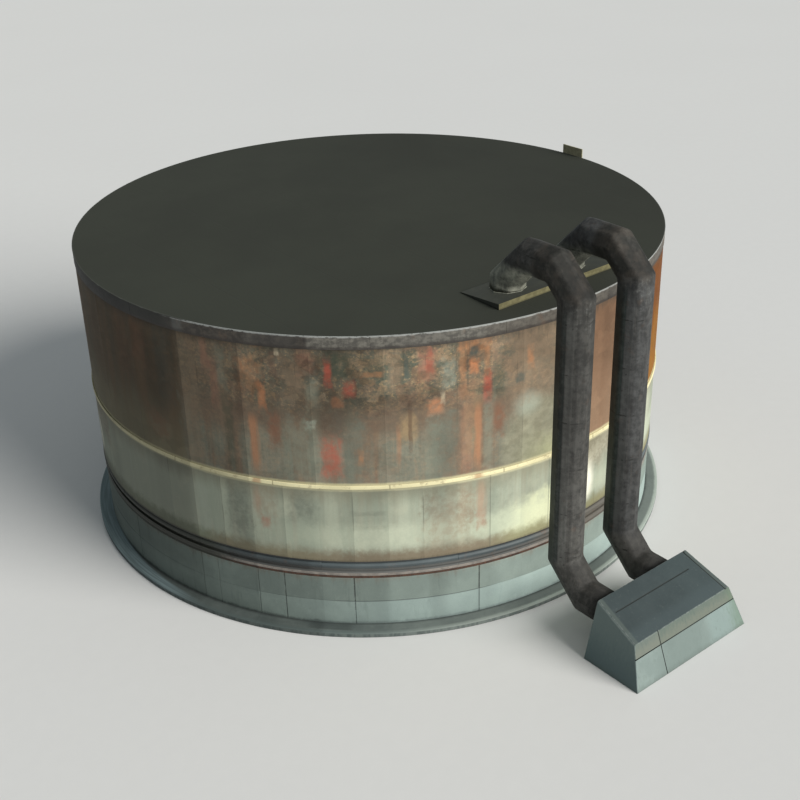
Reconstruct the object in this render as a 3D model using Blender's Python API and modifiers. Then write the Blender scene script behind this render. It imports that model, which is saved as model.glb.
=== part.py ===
"""An upright steel oil storage tank on a round concrete base, with two mitred ducts.

Metres, +Z up. The origin is on the tank's axis at ground level. The ducts leave the roof on the
-Y side, run down the outside of the shell and enter a concrete block that stands clear of the base.
"""

import math

import bmesh
import bpy
from mathutils import Matrix, Vector

# Driving sizes of the tank
TANK_RADIUS = 6.0
SHELL_BOTTOM = 1.52
COURSE_JOINT = 3.10
RIM_HEIGHT = 6.02
ROOF_SLOPE = 1 / 48

# Round pieces: sides of a full turn, and how the shell is split into plates
SIDES = 60
SEGMENTS = 10
LOWER_SEAM_OFFSET = math.radians(18)

# Clearance left between two pieces that touch
GAP = 0.0003

# Concrete base
FOOTING_RADIUS = 6.26
FOOTING_HEIGHT = 0.12
FOOTING_FALL = 0.025
PLINTH_RADIUS = 5.99
PLINTH_TOP = 1.146

# Layers between the plinth and the shell
BEDDING_RADIUS = 5.985
BEDDING_TOP = 1.205
BOTTOM_RADIUS = 6.0
BOTTOM_TOP = 1.265
BOTTOM_EDGE_WIDTH = 0.07
BOTTOM_PLATE = 0.012
SKIRT_INNER = 5.86
SKIRT_OUTER = 5.998
SKIRT_RECESS = 5.95
SKIRT_FOOT = 0.03
HALF_ROUND_HEIGHT = 1.415
HALF_ROUND_RADIUS = 0.06
HALF_ROUND_STEPS = 6

# Steel plate
LOWER_WALL = 0.010
UPPER_WALL = 0.008
ROOF_PLATE = 0.014
ROOF_OVERHANG = 0.013
CURB_DEPTH = 0.25
CURB_THICKNESS = 0.010
STIFFENER_HEIGHT = 0.08
STIFFENER_THICKNESS = 0.025
STIFFENER_ROUND = 0.02

# Ducts: octagons, one corner of which points away from the tank
DUCT_SIDES = 8
DUCT_RADIUS = 0.332
DUCT_SPACING = 1.482
RISER_DISTANCE = 6.56
DROP_DISTANCE = 4.914
CROSSOVER_HEIGHT = 6.842
OUTER_MITRE = 0.449
INNER_MITRE = 0.55
OUTLET_HEIGHT = 0.665
LOWER_MITRE = 0.557
BEND_TURN = math.radians(45)
BEND_CUT = math.radians(15)

# Pad on the roof under the ducts
PAD_OUTER = 5.424
PAD_INNER = 4.446
PAD_LENGTH = 2.87
PAD_FACE = 0.105
PAD_BACK = 0.012

# Concrete block that takes the ducts
BLOCK_INNER = 7.79
BLOCK_FOOT_OUTER = 9.054
BLOCK_TOP_OUTER = 8.755
BLOCK_FOOT_LENGTH = 2.97
BLOCK_END_BATTER = 0.25
BLOCK_INNER_HEIGHT = 1.14
BLOCK_OUTER_HEIGHT = 0.775
BLOCK_CHAMFER = 0.02

# Small plate at the rim
RIM_PLATE_WIDTH = 0.60
RIM_PLATE_ABOVE = 0.195
RIM_PLATE_BELOW = 0.20
RIM_PLATE_THICKNESS = 0.02
RIM_PLATE_SHIFT = -0.01

MERGE = 0.0001
SHARP_ANGLE = math.radians(35)

# Finishes: colour, roughness, metallic
FINISHES = {
    "cast_concrete": ((0.24, 0.28, 0.26), 0.90, 0.0),
    "footing_concrete": ((0.15, 0.18, 0.17), 0.90, 0.0),
    "rusty_bedding": ((0.07, 0.045, 0.035), 0.90, 0.0),
    "bottom_steel": ((0.26, 0.25, 0.24), 0.70, 0.2),
    "skirt_steel": ((0.10, 0.13, 0.13), 0.60, 0.3),
    "lower_paint": ((0.42, 0.46, 0.36), 0.60, 0.1),
    "upper_rust": ((0.22, 0.15, 0.10), 0.80, 0.2),
    "ring_paint": ((0.72, 0.68, 0.40), 0.60, 0.1),
    "curb_steel": ((0.12, 0.12, 0.12), 0.55, 0.4),
    "roof_felt": ((0.05, 0.055, 0.045), 0.85, 0.0),
    "pad_paint": ((0.22, 0.20, 0.08), 0.75, 0.0),
    "duct_steel": ((0.045, 0.045, 0.045), 0.65, 0.3),
    "plate_paint": ((0.06, 0.06, 0.035), 0.70, 0.2),
}


def clear_scene():
    for obj in list(bpy.data.objects):
        bpy.data.objects.remove(obj, do_unlink=True)


def new_collection(name):
    collection = bpy.data.collections.new(name)
    bpy.context.scene.collection.children.link(collection)
    return collection


def make_materials():
    made = {}
    for name, (colour, roughness, metallic) in FINISHES.items():
        material = bpy.data.materials.new(name)
        material.use_nodes = True
        shader = material.node_tree.nodes["Principled BSDF"]
        shader.inputs["Base Color"].default_value = (*colour, 1.0)
        shader.inputs["Roughness"].default_value = roughness
        shader.inputs["Metallic"].default_value = metallic
        material.diffuse_color = (*colour, 1.0)
        made[name] = material
    return made


clear_scene()
PARTS = new_collection("oil_storage_tank")
CUTTERS = new_collection("cutters")
MATERIALS = make_materials()


def place(name, mesh, finish):
    """Puts a mesh into the scene as one named piece with its own finish."""
    obj = bpy.data.objects.new(name, mesh)
    mesh.materials.append(MATERIALS[finish])
    PARTS.objects.link(obj)
    return obj


def settle(obj):
    """Turns an object's modifiers into plain mesh and shades its round faces smooth."""
    bpy.context.view_layer.update()
    evaluated = obj.evaluated_get(bpy.context.evaluated_depsgraph_get())
    mesh = bpy.data.meshes.new_from_object(evaluated)
    mesh.name = obj.name
    obj.modifiers.clear()
    obj.data = mesh
    mesh.shade_smooth()
    mesh.set_sharp_from_angle(angle=SHARP_ANGLE)
    return obj


def profile_mesh(name, points, closed):
    """A line of (distance from the axis, height) points in the XZ plane."""
    mesh = bpy.data.meshes.new(name)
    shape = bmesh.new()
    corners = [shape.verts.new((distance, 0.0, height)) for distance, height in points]
    for start, end in zip(corners, corners[1:]):
        shape.edges.new((start, end))
    if closed:
        shape.edges.new((corners[-1], corners[0]))
    shape.to_mesh(mesh)
    shape.free()
    return mesh


def add_screw(obj, angle, steps):
    screw = obj.modifiers.new("turn", "SCREW")
    screw.axis = "Z"
    screw.angle = angle
    screw.steps = steps
    screw.render_steps = steps
    screw.use_merge_vertices = True
    screw.merge_threshold = MERGE
    return screw


def turned(name, points, finish, closed=True):
    """A full turn of a profile, whose points run down the outer side first."""
    obj = place(name, profile_mesh(name, points, closed), finish)
    add_screw(obj, math.tau, SIDES)
    return settle(obj)


def shell_plate(name, bottom, top, wall, start, finish):
    """One curved plate of the shell, a strip turned about the axis and thickened inwards.

    Its ends stand square to their own flat, so the seam is a V that is narrowest on the inside.
    """
    strip = profile_mesh(name, [(TANK_RADIUS, top), (TANK_RADIUS, bottom)], False)
    obj = place(name, strip, finish)
    span = math.tau / SEGMENTS
    seam = (GAP + 2 * wall * math.tan(math.pi / SIDES)) / TANK_RADIUS
    add_screw(obj, span - seam, SIDES // SEGMENTS)
    solidify = obj.modifiers.new("wall", "SOLIDIFY")
    solidify.thickness = wall
    solidify.offset = -1.0
    solidify.use_even_offset = True
    settle(obj)
    obj.rotation_euler.z = start + seam / 2
    return obj


def roof_height(distance):
    """Height of the roof's upper face at a distance from the axis."""
    return RIM_HEIGHT + (TANK_RADIUS - distance) * ROOF_SLOPE


def build_base():
    turned(
        "footing",
        [
            (0.0, FOOTING_HEIGHT),
            (PLINTH_RADIUS, FOOTING_HEIGHT),
            (FOOTING_RADIUS, FOOTING_HEIGHT - FOOTING_FALL),
            (FOOTING_RADIUS, 0.0),
            (0.0, 0.0),
        ],
        "footing_concrete",
        closed=False,
    )
    turned(
        "plinth",
        [
            (0.0, PLINTH_TOP),
            (PLINTH_RADIUS, PLINTH_TOP),
            (PLINTH_RADIUS, FOOTING_HEIGHT + GAP),
            (0.0, FOOTING_HEIGHT + GAP),
        ],
        "cast_concrete",
        closed=False,
    )
    edge_inner = BOTTOM_RADIUS - BOTTOM_EDGE_WIDTH
    plate_under = BOTTOM_TOP - BOTTOM_PLATE
    turned(
        "bedding_layer",
        [
            (0.0, plate_under - GAP),
            (edge_inner - GAP, plate_under - GAP),
            (edge_inner - GAP, BEDDING_TOP),
            (BEDDING_RADIUS, BEDDING_TOP),
            (BEDDING_RADIUS, PLINTH_TOP + GAP),
            (0.0, PLINTH_TOP + GAP),
        ],
        "rusty_bedding",
        closed=False,
    )
    turned(
        "bottom_plate",
        [
            (0.0, BOTTOM_TOP),
            (BOTTOM_RADIUS, BOTTOM_TOP),
            (BOTTOM_RADIUS, BEDDING_TOP + GAP),
            (edge_inner, BEDDING_TOP + GAP),
            (edge_inner, plate_under),
            (0.0, plate_under),
        ],
        "bottom_steel",
        closed=False,
    )


def build_skirt():
    """The ring that carries the shell, with a half-round moulding on its outer side."""
    foot = BOTTOM_TOP + GAP
    top = SHELL_BOTTOM - GAP
    half_round = []
    for step in range(HALF_ROUND_STEPS + 1):
        turn = math.pi * step / HALF_ROUND_STEPS
        half_round.append(
            (
                SKIRT_RECESS + HALF_ROUND_RADIUS * math.sin(turn),
                HALF_ROUND_HEIGHT + HALF_ROUND_RADIUS * math.cos(turn),
            )
        )
    neck = HALF_ROUND_HEIGHT + HALF_ROUND_RADIUS
    turned(
        "skirt_ring",
        [
            (SKIRT_OUTER, top),
            (SKIRT_OUTER, top - SKIRT_FOOT),
            (SKIRT_RECESS, max(neck + MERGE, top - SKIRT_FOOT)),
            *half_round,
            (SKIRT_RECESS, foot + SKIRT_FOOT),
            (SKIRT_OUTER, foot + SKIRT_FOOT),
            (SKIRT_OUTER, foot),
            (SKIRT_INNER, foot),
            (SKIRT_INNER, top),
        ],
        "skirt_steel",
    )


def build_shell():
    span = math.tau / SEGMENTS
    first = -math.pi / 2
    upper_top = RIM_HEIGHT - ROOF_PLATE - GAP
    for index in range(SEGMENTS):
        shell_plate(
            f"shell_lower_{index + 1:02d}",
            SHELL_BOTTOM,
            COURSE_JOINT - GAP,
            LOWER_WALL,
            first + LOWER_SEAM_OFFSET + index * span,
            "lower_paint",
        )
        shell_plate(
            f"shell_upper_{index + 1:02d}",
            COURSE_JOINT,
            upper_top,
            UPPER_WALL,
            first + index * span,
            "upper_rust",
        )


def build_rings():
    inner = TANK_RADIUS + GAP
    edge = inner + STIFFENER_THICKNESS
    half = STIFFENER_HEIGHT / 2
    turned(
        "stiffener_ring",
        [
            (edge - STIFFENER_ROUND, COURSE_JOINT + half),
            (edge, COURSE_JOINT + half - STIFFENER_ROUND),
            (edge, COURSE_JOINT - half + STIFFENER_ROUND),
            (edge - STIFFENER_ROUND, COURSE_JOINT - half),
            (inner, COURSE_JOINT - half),
            (inner, COURSE_JOINT + half),
        ],
        "ring_paint",
    )
    top = RIM_HEIGHT - ROOF_PLATE - GAP
    turned(
        "curb_ring",
        [
            (inner + CURB_THICKNESS, top),
            (inner + CURB_THICKNESS, RIM_HEIGHT - CURB_DEPTH),
            (inner, RIM_HEIGHT - CURB_DEPTH),
            (inner, top),
        ],
        "curb_steel",
    )


def build_roof():
    under = RIM_HEIGHT - ROOF_PLATE
    edge = TANK_RADIUS + ROOF_OVERHANG
    turned(
        "roof",
        [
            (0.0, roof_height(0.0)),
            (TANK_RADIUS, RIM_HEIGHT),
            (edge, RIM_HEIGHT),
            (edge, under),
            (TANK_RADIUS, under),
            (0.0, roof_height(0.0) - ROOF_PLATE),
        ],
        "roof_felt",
        closed=False,
    )


def box_between(name, low, high, finish):
    """A box from one corner to the other, made from the cube primitive."""
    mesh = bpy.data.meshes.new(name)
    shape = bmesh.new()
    bmesh.ops.create_cube(shape, size=1.0)
    for corner in shape.verts:
        for axis in range(3):
            share = corner.co[axis] + 0.5
            corner.co[axis] = low[axis] + share * (high[axis] - low[axis])
    shape.to_mesh(mesh)
    shape.free()
    return place(name, mesh, finish)


def pad_slope():
    """Fall of the pad's upper face for each metre towards the tank's axis."""
    outer = roof_height(PAD_OUTER) + PAD_FACE
    inner = roof_height(PAD_INNER) + PAD_BACK
    return (outer - inner) / (PAD_OUTER - PAD_INNER)


def pad_top(distance):
    """Height of the pad's upper face at a distance from the axis."""
    return roof_height(PAD_OUTER) + PAD_FACE - (PAD_OUTER - distance) * pad_slope()


def build_roof_pad():
    """A wedge that thins out towards the axis, with its underside cut to the roof."""
    half = PAD_LENGTH / 2
    pad = box_between(
        "roof_pad",
        (-half, -PAD_OUTER, RIM_HEIGHT),
        (half, -PAD_INNER, pad_top(PAD_OUTER)),
        "pad_paint",
    )
    for corner in pad.data.vertices:
        if corner.co.z > RIM_HEIGHT + MERGE:
            corner.co.z = pad_top(-corner.co.y)
    below = RIM_HEIGHT - CURB_DEPTH
    slope = [
        (0.0, roof_height(0.0) + GAP),
        (TANK_RADIUS, RIM_HEIGHT + GAP),
        (TANK_RADIUS, below),
        (0.0, below),
    ]
    mesh = profile_mesh("roof_cutter", slope, False)
    cutter = bpy.data.objects.new("roof_cutter", mesh)
    CUTTERS.objects.link(cutter)
    cutter.hide_render = True
    cutter.display_type = "WIRE"
    add_screw(cutter, math.tau, SIDES)
    cut = pad.modifiers.new("sit on roof", "BOOLEAN")
    cut.operation = "DIFFERENCE"
    cut.solver = "EXACT"
    cut.object = cutter


def duct_path():
    """Centre line of a duct in the plane through the tank's axis, as (distance, height)."""
    return [
        (DROP_DISTANCE, pad_top(DROP_DISTANCE) + GAP),
        (DROP_DISTANCE, CROSSOVER_HEIGHT - INNER_MITRE),
        (DROP_DISTANCE + INNER_MITRE, CROSSOVER_HEIGHT),
        (RISER_DISTANCE - OUTER_MITRE, CROSSOVER_HEIGHT),
        (RISER_DISTANCE, CROSSOVER_HEIGHT - OUTER_MITRE),
        (RISER_DISTANCE, OUTLET_HEIGHT + LOWER_MITRE),
        (RISER_DISTANCE + LOWER_MITRE, OUTLET_HEIGHT),
        (BLOCK_INNER - GAP, OUTLET_HEIGHT),
    ]


DUCT_PIECES = (
    "drop_leg",
    "inner_mitre",
    "crossover",
    "outer_mitre",
    "riser",
    "lower_mitre",
    "outlet",
)


def heading(start, end):
    """Angle of a run above the horizontal, seen with the tank's axis on the left."""
    return math.atan2(end[1] - start[1], end[0] - start[0])


def duct_rotation(turn):
    """Turns local Z to the heading and local X to the left of it, in the plane of the duct."""
    along = Vector((0.0, -math.cos(turn), math.sin(turn)))
    left = Vector((0.0, math.sin(turn), math.cos(turn)))
    side = along.cross(left)
    return Matrix((left, side, along)).transposed().to_quaternion()


def duct_piece(name, path, index, across):
    """One piece of a duct. Every second one is a mitre, which is slimmer than the straight runs.

    The foot of the first run is cut to the slope of the pad, the end of the last one is square.
    """
    start, end = path[index], path[index + 1]
    turn = heading(start, end)
    length = math.dist(start, end)
    cut, slimness = BEND_CUT, 1.0
    if index % 2 == 1:
        cut = BEND_TURN - BEND_CUT
        slimness = math.cos(cut) / math.cos(BEND_CUT)
    start_cut, start_gap = -pad_slope(), 0.0
    if index > 0:
        bend = turn - heading(path[index - 1], start)
        start_cut, start_gap = math.copysign(math.tan(cut), bend), GAP / 2
    end_cut, end_gap = 0.0, 0.0
    if index + 2 < len(path):
        bend = heading(end, path[index + 2]) - turn
        end_cut, end_gap = math.copysign(math.tan(cut), bend), GAP / 2
    mesh = bpy.data.meshes.new(name)
    shape = bmesh.new()
    bmesh.ops.create_cone(
        shape,
        cap_ends=True,
        segments=DUCT_SIDES,
        radius1=DUCT_RADIUS,
        radius2=DUCT_RADIUS,
        depth=length,
    )
    for corner in shape.verts:
        corner.co.x *= slimness
        if corner.co.z < 0:
            corner.co.z += start_gap + corner.co.x * start_cut
        else:
            corner.co.z -= end_gap + corner.co.x * end_cut
    shape.to_mesh(mesh)
    shape.free()
    obj = place(name, mesh, "duct_steel")
    distance, height = [(a + b) / 2 for a, b in zip(start, end)]
    obj.location = (across, -distance, height)
    obj.rotation_mode = "QUATERNION"
    obj.rotation_quaternion = duct_rotation(turn)
    return obj


def build_ducts():
    path = duct_path()
    for letter, across in (("a", -DUCT_SPACING / 2), ("b", DUCT_SPACING / 2)):
        for index, piece in enumerate(DUCT_PIECES):
            duct_piece(f"duct_{letter}_{piece}", path, index, across)


def build_block():
    """A block with a sloping top, upright towards the tank and battered on its other sides."""
    half = BLOCK_FOOT_LENGTH / 2
    block = box_between(
        "outlet_block",
        (-half, -BLOCK_FOOT_OUTER, 0.0),
        (half, -BLOCK_INNER, BLOCK_INNER_HEIGHT),
        "cast_concrete",
    )
    shape = bmesh.new()
    shape.from_mesh(block.data)
    for corner in shape.verts:
        if corner.co.z == 0.0:
            continue
        outer = corner.co.y < -BLOCK_INNER - MERGE
        height = BLOCK_OUTER_HEIGHT if outer else BLOCK_INNER_HEIGHT
        corner.co.y = -BLOCK_TOP_OUTER if outer else -BLOCK_INNER
        corner.co.z = height
        corner.co.x = math.copysign(half - BLOCK_END_BATTER * height, corner.co.x)
    end_edges = [
        edge
        for edge in shape.edges
        if min(corner.co.z for corner in edge.verts) > MERGE
        and edge.verts[0].co.x * edge.verts[1].co.x > 0
    ]
    bmesh.ops.bevel(shape, geom=end_edges, offset=BLOCK_CHAMFER, segments=1, affect="EDGES")
    shape.to_mesh(block.data)
    shape.free()


def build_rim_plate():
    inner = TANK_RADIUS + ROOF_OVERHANG + GAP
    half = RIM_PLATE_WIDTH / 2
    box_between(
        "rim_plate",
        (inner, RIM_PLATE_SHIFT - half, RIM_HEIGHT - RIM_PLATE_BELOW),
        (inner + RIM_PLATE_THICKNESS, RIM_PLATE_SHIFT + half, RIM_HEIGHT + RIM_PLATE_ABOVE),
        "plate_paint",
    )


build_base()
build_skirt()
build_shell()
build_rings()
build_roof()
build_roof_pad()
build_ducts()
build_block()
build_rim_plate()
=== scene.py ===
"""Looks for the oil storage tank: worn plate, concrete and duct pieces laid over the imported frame."""

import math

import bmesh
import bpy
from mathutils import Euler, Matrix, Vector, noise


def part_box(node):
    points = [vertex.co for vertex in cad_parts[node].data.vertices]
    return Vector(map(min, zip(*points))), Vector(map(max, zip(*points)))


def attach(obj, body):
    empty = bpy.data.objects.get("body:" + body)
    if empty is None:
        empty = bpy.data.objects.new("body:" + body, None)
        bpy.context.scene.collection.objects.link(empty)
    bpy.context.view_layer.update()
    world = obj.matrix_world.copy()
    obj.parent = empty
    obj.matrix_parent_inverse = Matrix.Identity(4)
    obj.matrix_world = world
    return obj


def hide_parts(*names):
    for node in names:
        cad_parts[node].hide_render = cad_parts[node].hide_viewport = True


# Camera, matched to the photograph
CAMERA_PLACE = (-14.948, -19.623, 14.625)
CAMERA_HEADING = 38.526
CAMERA_PITCH = 27.737
CAMERA_ROLL = -1.644
CAMERA_LENS = 56.21
SENSOR = 36.0

# Light
KEY_AZIMUTH = 18.0
KEY_ELEVATION = 27.0
KEY_STRENGTH = 4.3
KEY_SPREAD = 40.0
KEY_COLOUR = (1.0, 0.97, 0.92)
SKY_COLOUR = (0.88, 0.96, 1.0)
SKY_STRENGTH = 0.30
FLOOR_RADIUS = 180.0
FLOOR_DROP = 0.002

# Sizes repeated from the part, in metres
TANK_RADIUS = 6.0
RIM_HEIGHT = 6.02
ROOF_SLOPE = 1 / 48
ROOF_EDGE = 6.013
ROOF_PLATE = 0.014
CURB_BOTTOM = 5.77
CURB_THICKNESS = 0.010
COURSE_JOINT = 3.10
STIFFENER_HALF = 0.04
STIFFENER_THICKNESS = 0.025
SHELL_BOTTOM = 1.52
LOWER_WALL = 0.010
UPPER_WALL = 0.008
GAP = 0.0003
BOTTOM_TOP = 1.265
BEDDING_TOP = 1.205
BEDDING_RADIUS = 5.985
PLINTH_TOP = 1.146
PLINTH_RADIUS = 5.99
FOOTING_TOP = 0.12
FOOTING_EDGE = 0.095
FOOTING_RADIUS = 6.26
SKIRT_RECESS = 5.95
SKIRT_OUTER = 5.998
SKIRT_INNER = 5.86
SKIRT_LIP = 0.03
HALF_ROUND_HEIGHT = 1.415
HALF_ROUND_RADIUS = 0.06
PAD_OUTER = 5.424
PAD_HALF = 1.435
RISER_DISTANCE = 6.56
BLOCK_INNER = 7.79
BLOCK_TOP_OUTER = 8.755
BLOCK_FOOT_OUTER = 9.054
BLOCK_FOOT_HALF = 1.485
BLOCK_BATTER = 0.25
BLOCK_INNER_HEIGHT = 1.14
BLOCK_OUTER_HEIGHT = 0.775
BLOCK_FALL = (BLOCK_INNER_HEIGHT - BLOCK_OUTER_HEIGHT) / (BLOCK_TOP_OUTER - BLOCK_INNER)
DUCT_PIECES = ("drop_leg", "inner_mitre", "crossover", "outer_mitre", "riser", "lower_mitre", "outlet")

# Joints: where the plates and the concrete panels meet, in degrees from the ducts' side
PLATES = 10
PLATE_SPAN = 36
PLATE_TURN = 12
CURB_TURN = 22.5
CURB_START = 7.0
RING_TURN = 20.0
RING_START = 4.4
PANEL_JOINTS = (-72.2, -68.5, -60.1, -55.0, -42.4, -20.0)
PANEL_TURN = 22.2
PANEL_LEVEL = 0.626
BLOCK_JOINT_LEVEL = 0.535
BLOCK_FRONT_JOINT = -0.685
BLOCK_TOP_JOINT = 8.122
RING_JOINT_HALF = 0.06

# Fineness of the shapes
ROUND_STEPS = 240
ARC_STEPS = 16
COURSE_STEPS = 16
PLATE_STEPS = 24
ROOF_STEPS = 12
FLOOR_STEPS = 96
BEAD_SIDES = 6
BEAD_STEP = 0.03
DUCT_ROUNDING = 0.055
JOINT_SHARES = (-1, -0.5, 0, 0.5, 1)
SMOOTH_ANGLE = math.radians(32)
FLAT_ANGLE = math.radians(1)
EDGE_ANGLE = math.radians(20)

# Colours are red, green and blue in thousandths. These are old paint, rust and dirt on the shell.
TAN = (265, 195, 130)
OCHRE = (350, 250, 135)
SAGE = (225, 245, 190)
MINT = (330, 365, 295)
MOSS = (66, 78, 54)
SLATE = (85, 105, 92)
OLIVE = (155, 170, 135)
RUST = (400, 190, 90)
FLAME = (540, 220, 100)
SALMON = (345, 170, 115)
RED = (380, 85, 55)
UMBER = (105, 68, 48)
SIENNA = (215, 100, 60)
CREAM = (480, 410, 290)
CHALK = (540, 570, 440)

# Stains seen in the photograph: azimuth, height, width in degrees, height in metres, colour, strength
UPPER_STAINS = (
    (-76, 5.1, 4.6, 2, SLATE, 0.3), (-79, 3.75, 5, 0.6, SIENNA, 0.35), (-82, 5.3, 4.4, 1, SIENNA, 0.3),
    (-87, 5.2, 4, 1.4, SIENNA, 0.2), (-49.5, 5.25, 13, 1.6, UMBER, 0.5), (-44.5, 4.6, 9, 0.8, MOSS, 0.35),
    (-10, 5.45, 9, 0.8, UMBER, 0.4), (-42, 3.8, 6, 1.5, OLIVE, 0.6), (-48.6, 5.5, 2.6, 0.5, SALMON, 0.45),
    (-71.6, 3.8, 3, 1.6, SAGE, 0.35), (-70.5, 4.5, 3.6, 3.6, TAN, 0.45),
    (-66.5, 5.55, 1.6, 0.9, SALMON, 0.45), (-65, 4.95, 1.8, 0.9, SALMON, 0.4),
    (-63.6, 4.45, 2.2, 0.6, TAN, 0.4), (-63.4, 5.25, 2, 0.8, SAGE, 0.4), (-62.9, 3.9, 2, 1.7, MOSS, 0.5),
    (-60.2, 5, 1.8, 1.3, UMBER, 0.5), (-58.3, 5.22, 3.8, 0.6, RUST, 0.45),
    (-56.3, 4.85, 1.4, 0.5, FLAME, 0.5), (-54.5, 4.15, 2.3, 0.65, SIENNA, 0.65),
    (-54, 5.5, 1.2, 0.7, UMBER, 0.5), (-53.2, 5.7, 0.7, 0.13, CREAM, 0.85), (-50.5, 5.15, 4.2, 0.9, TAN, 0.4),
    (-47.6, 5.05, 2.2, 0.6, SAGE, 0.5), (-48.2, 4.33, 1.8, 0.18, MINT, 0.6), (-50, 3.8, 5.8, 1.3, SAGE, 0.5),
    (-43.6, 5.5, 4.8, 0.6, MOSS, 0.75), (-45, 5.35, 1.3, 0.5, RED, 0.75), (-41.7, 5.02, 1.9, 0.32, RED, 0.65),
    (-43.6, 4.78, 2, 0.2, FLAME, 0.45), (-44.5, 4.45, 4.8, 0.9, UMBER, 0.5),
    (-45, 3.68, 3.6, 0.8, SALMON, 0.6), (-45.2, 3.66, 2.8, 0.65, RED, 0.5), (-40.2, 3.7, 1, 0.28, RUST, 0.5),
    (-37.6, 5.4, 4.4, 0.55, MOSS, 0.4), (-38, 5.3, 3.8, 0.1, RUST, 0.5), (-34.2, 5.3, 2.2, 0.8, TAN, 0.6),
    (-32.3, 5.4, 0.7, 0.45, SLATE, 0.65), (-29, 5.45, 2.8, 0.75, SALMON, 0.65),
    (-28.6, 5.5, 1.3, 0.45, RED, 0.45), (-25.4, 5.2, 2.4, 0.55, MINT, 0.45),
    (-20.9, 5.7, 5.6, 0.36, RUST, 0.75), (-23, 5.35, 1.3, 1.1, RUST, 0.5), (-18.8, 5.35, 1.1, 0.8, RUST, 0.4),
    (-21, 5.57, 1.8, 0.2, SLATE, 0.8), (-21, 5.27, 1.7, 0.28, FLAME, 0.8), (-18.7, 4.85, 1.5, 0.55, RED, 0.7),
    (-16.6, 4.95, 2, 0.6, MOSS, 0.45), (-10, 5.15, 9, 1.4, TAN, 0.55), (-12.7, 4.87, 1.8, 0.2, SLATE, 0.7),
    (-10.6, 5.2, 1.3, 0.4, RUST, 0.6), (-31, 4.72, 17, 0.4, UMBER, 0.45), (-27.7, 4.6, 2.8, 0.3, FLAME, 0.6),
    (-26.4, 4.75, 0.8, 0.22, CREAM, 0.5), (-32.2, 4.25, 2.8, 0.55, OCHRE, 0.6),
    (-31.9, 4.3, 0.7, 1.1, UMBER, 0.6), (-26.3, 3.8, 5, 1.5, OLIVE, 0.65),
    (-22.3, 3.9, 2.3, 1.8, SALMON, 0.42), (-18.4, 3.8, 2, 1.5, SAGE, 0.5),
    (-16.6, 4.15, 2.1, 0.6, SIENNA, 0.65), (-21.5, 4.1, 3.4, 1.4, OCHRE, 0.3),
    (-28.5, 3.7, 3, 1.2, SAGE, 0.35), (50, 5.6, 12, 0.6, OCHRE, 0.6),
)
RING_STAINS = (
    (-58.5, 3.1, 1.6, 0.4, RUST, 0.6), (-20.3, 3.1, 1.8, 0.4, RUST, 0.6),
)
LOWER_STAINS = (
    (-57.5, 2.75, 4.6, 0.9, TAN, 0.45), (-22.6, 2.6, 3, 1, TAN, 0.5), (-19.6, 2.15, 1.8, 0.36, SALMON, 0.6),
    (-57.5, 2.23, 1.5, 0.26, SALMON, 0.55), (-39, 2.55, 6, 0.1, OLIVE, 0.35),
    (-38.5, 2.25, 5, 0.08, OLIVE, 0.35), (-46, 2.05, 3.6, 0.5, CHALK, 0.35),
    (-36.5, 2.05, 12, 0.5, CHALK, 0.45), (-28, 2.7, 4, 0.7, OLIVE, 0.6), (-24.4, 2.75, 1.8, 0.8, OLIVE, 0.35),
    (-50.5, 2.8, 4.6, 0.8, OLIVE, 0.6), (-62.6, 2.4, 4.6, 1.6, OLIVE, 0.6), (-25.5, 2.2, 9, 1.2, TAN, 0.42),
    (-79, 2.15, 9, 0.8, MINT, 0.35), (-70.6, 2.2, 3.6, 1.2, MINT, 0.6), (-16.5, 2.6, 6, 1.2, OLIVE, 0.3),
)


# Number sockets with ordinary arithmetic


class Value:
    """A number that varies over a surface."""

    def __init__(self, nodes, socket):
        self.nodes = nodes
        self.socket = socket

    def __add__(self, other):
        return self.nodes.math("ADD", self, other)

    def __sub__(self, other):
        return self.nodes.math("SUBTRACT", self, other)

    def __rsub__(self, other):
        return self.nodes.math("SUBTRACT", other, self)

    def __mul__(self, other):
        return self.nodes.math("MULTIPLY", self, other)

    def __truediv__(self, other):
        return self.nodes.math("DIVIDE", self, other)

    def __abs__(self):
        return self.nodes.math("ABSOLUTE", self)

    __radd__ = __add__
    __rmul__ = __mul__

    def rise(self, start, end):
        """0 below start and 1 above end, with a smooth change between them."""
        made = self.nodes.node("MapRange", interpolation_type="SMOOTHSTEP")
        for socket, number in zip(made.inputs, (self, start, end)):
            self.nodes.feed(socket, number)
        return Value(self.nodes, made.outputs["Result"])

    def fall(self, start, end):
        return 1 - self.rise(start, end)

    def band(self, low, high, soft):
        return self.rise(low - soft, low + soft) * self.fall(high - soft, high + soft)

    def sway(self, size):
        """A noise from 0 to 1 made to swing about 0."""
        return (self - 0.5) * size

    def off_line(self, step, offset=0):
        """Distance from the nearest of the lines that are a step apart."""
        share = self.nodes.math("FRACT", (self - offset) / step + 100)
        return self.nodes.math("MINIMUM", share, 1 - share) * step


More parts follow.
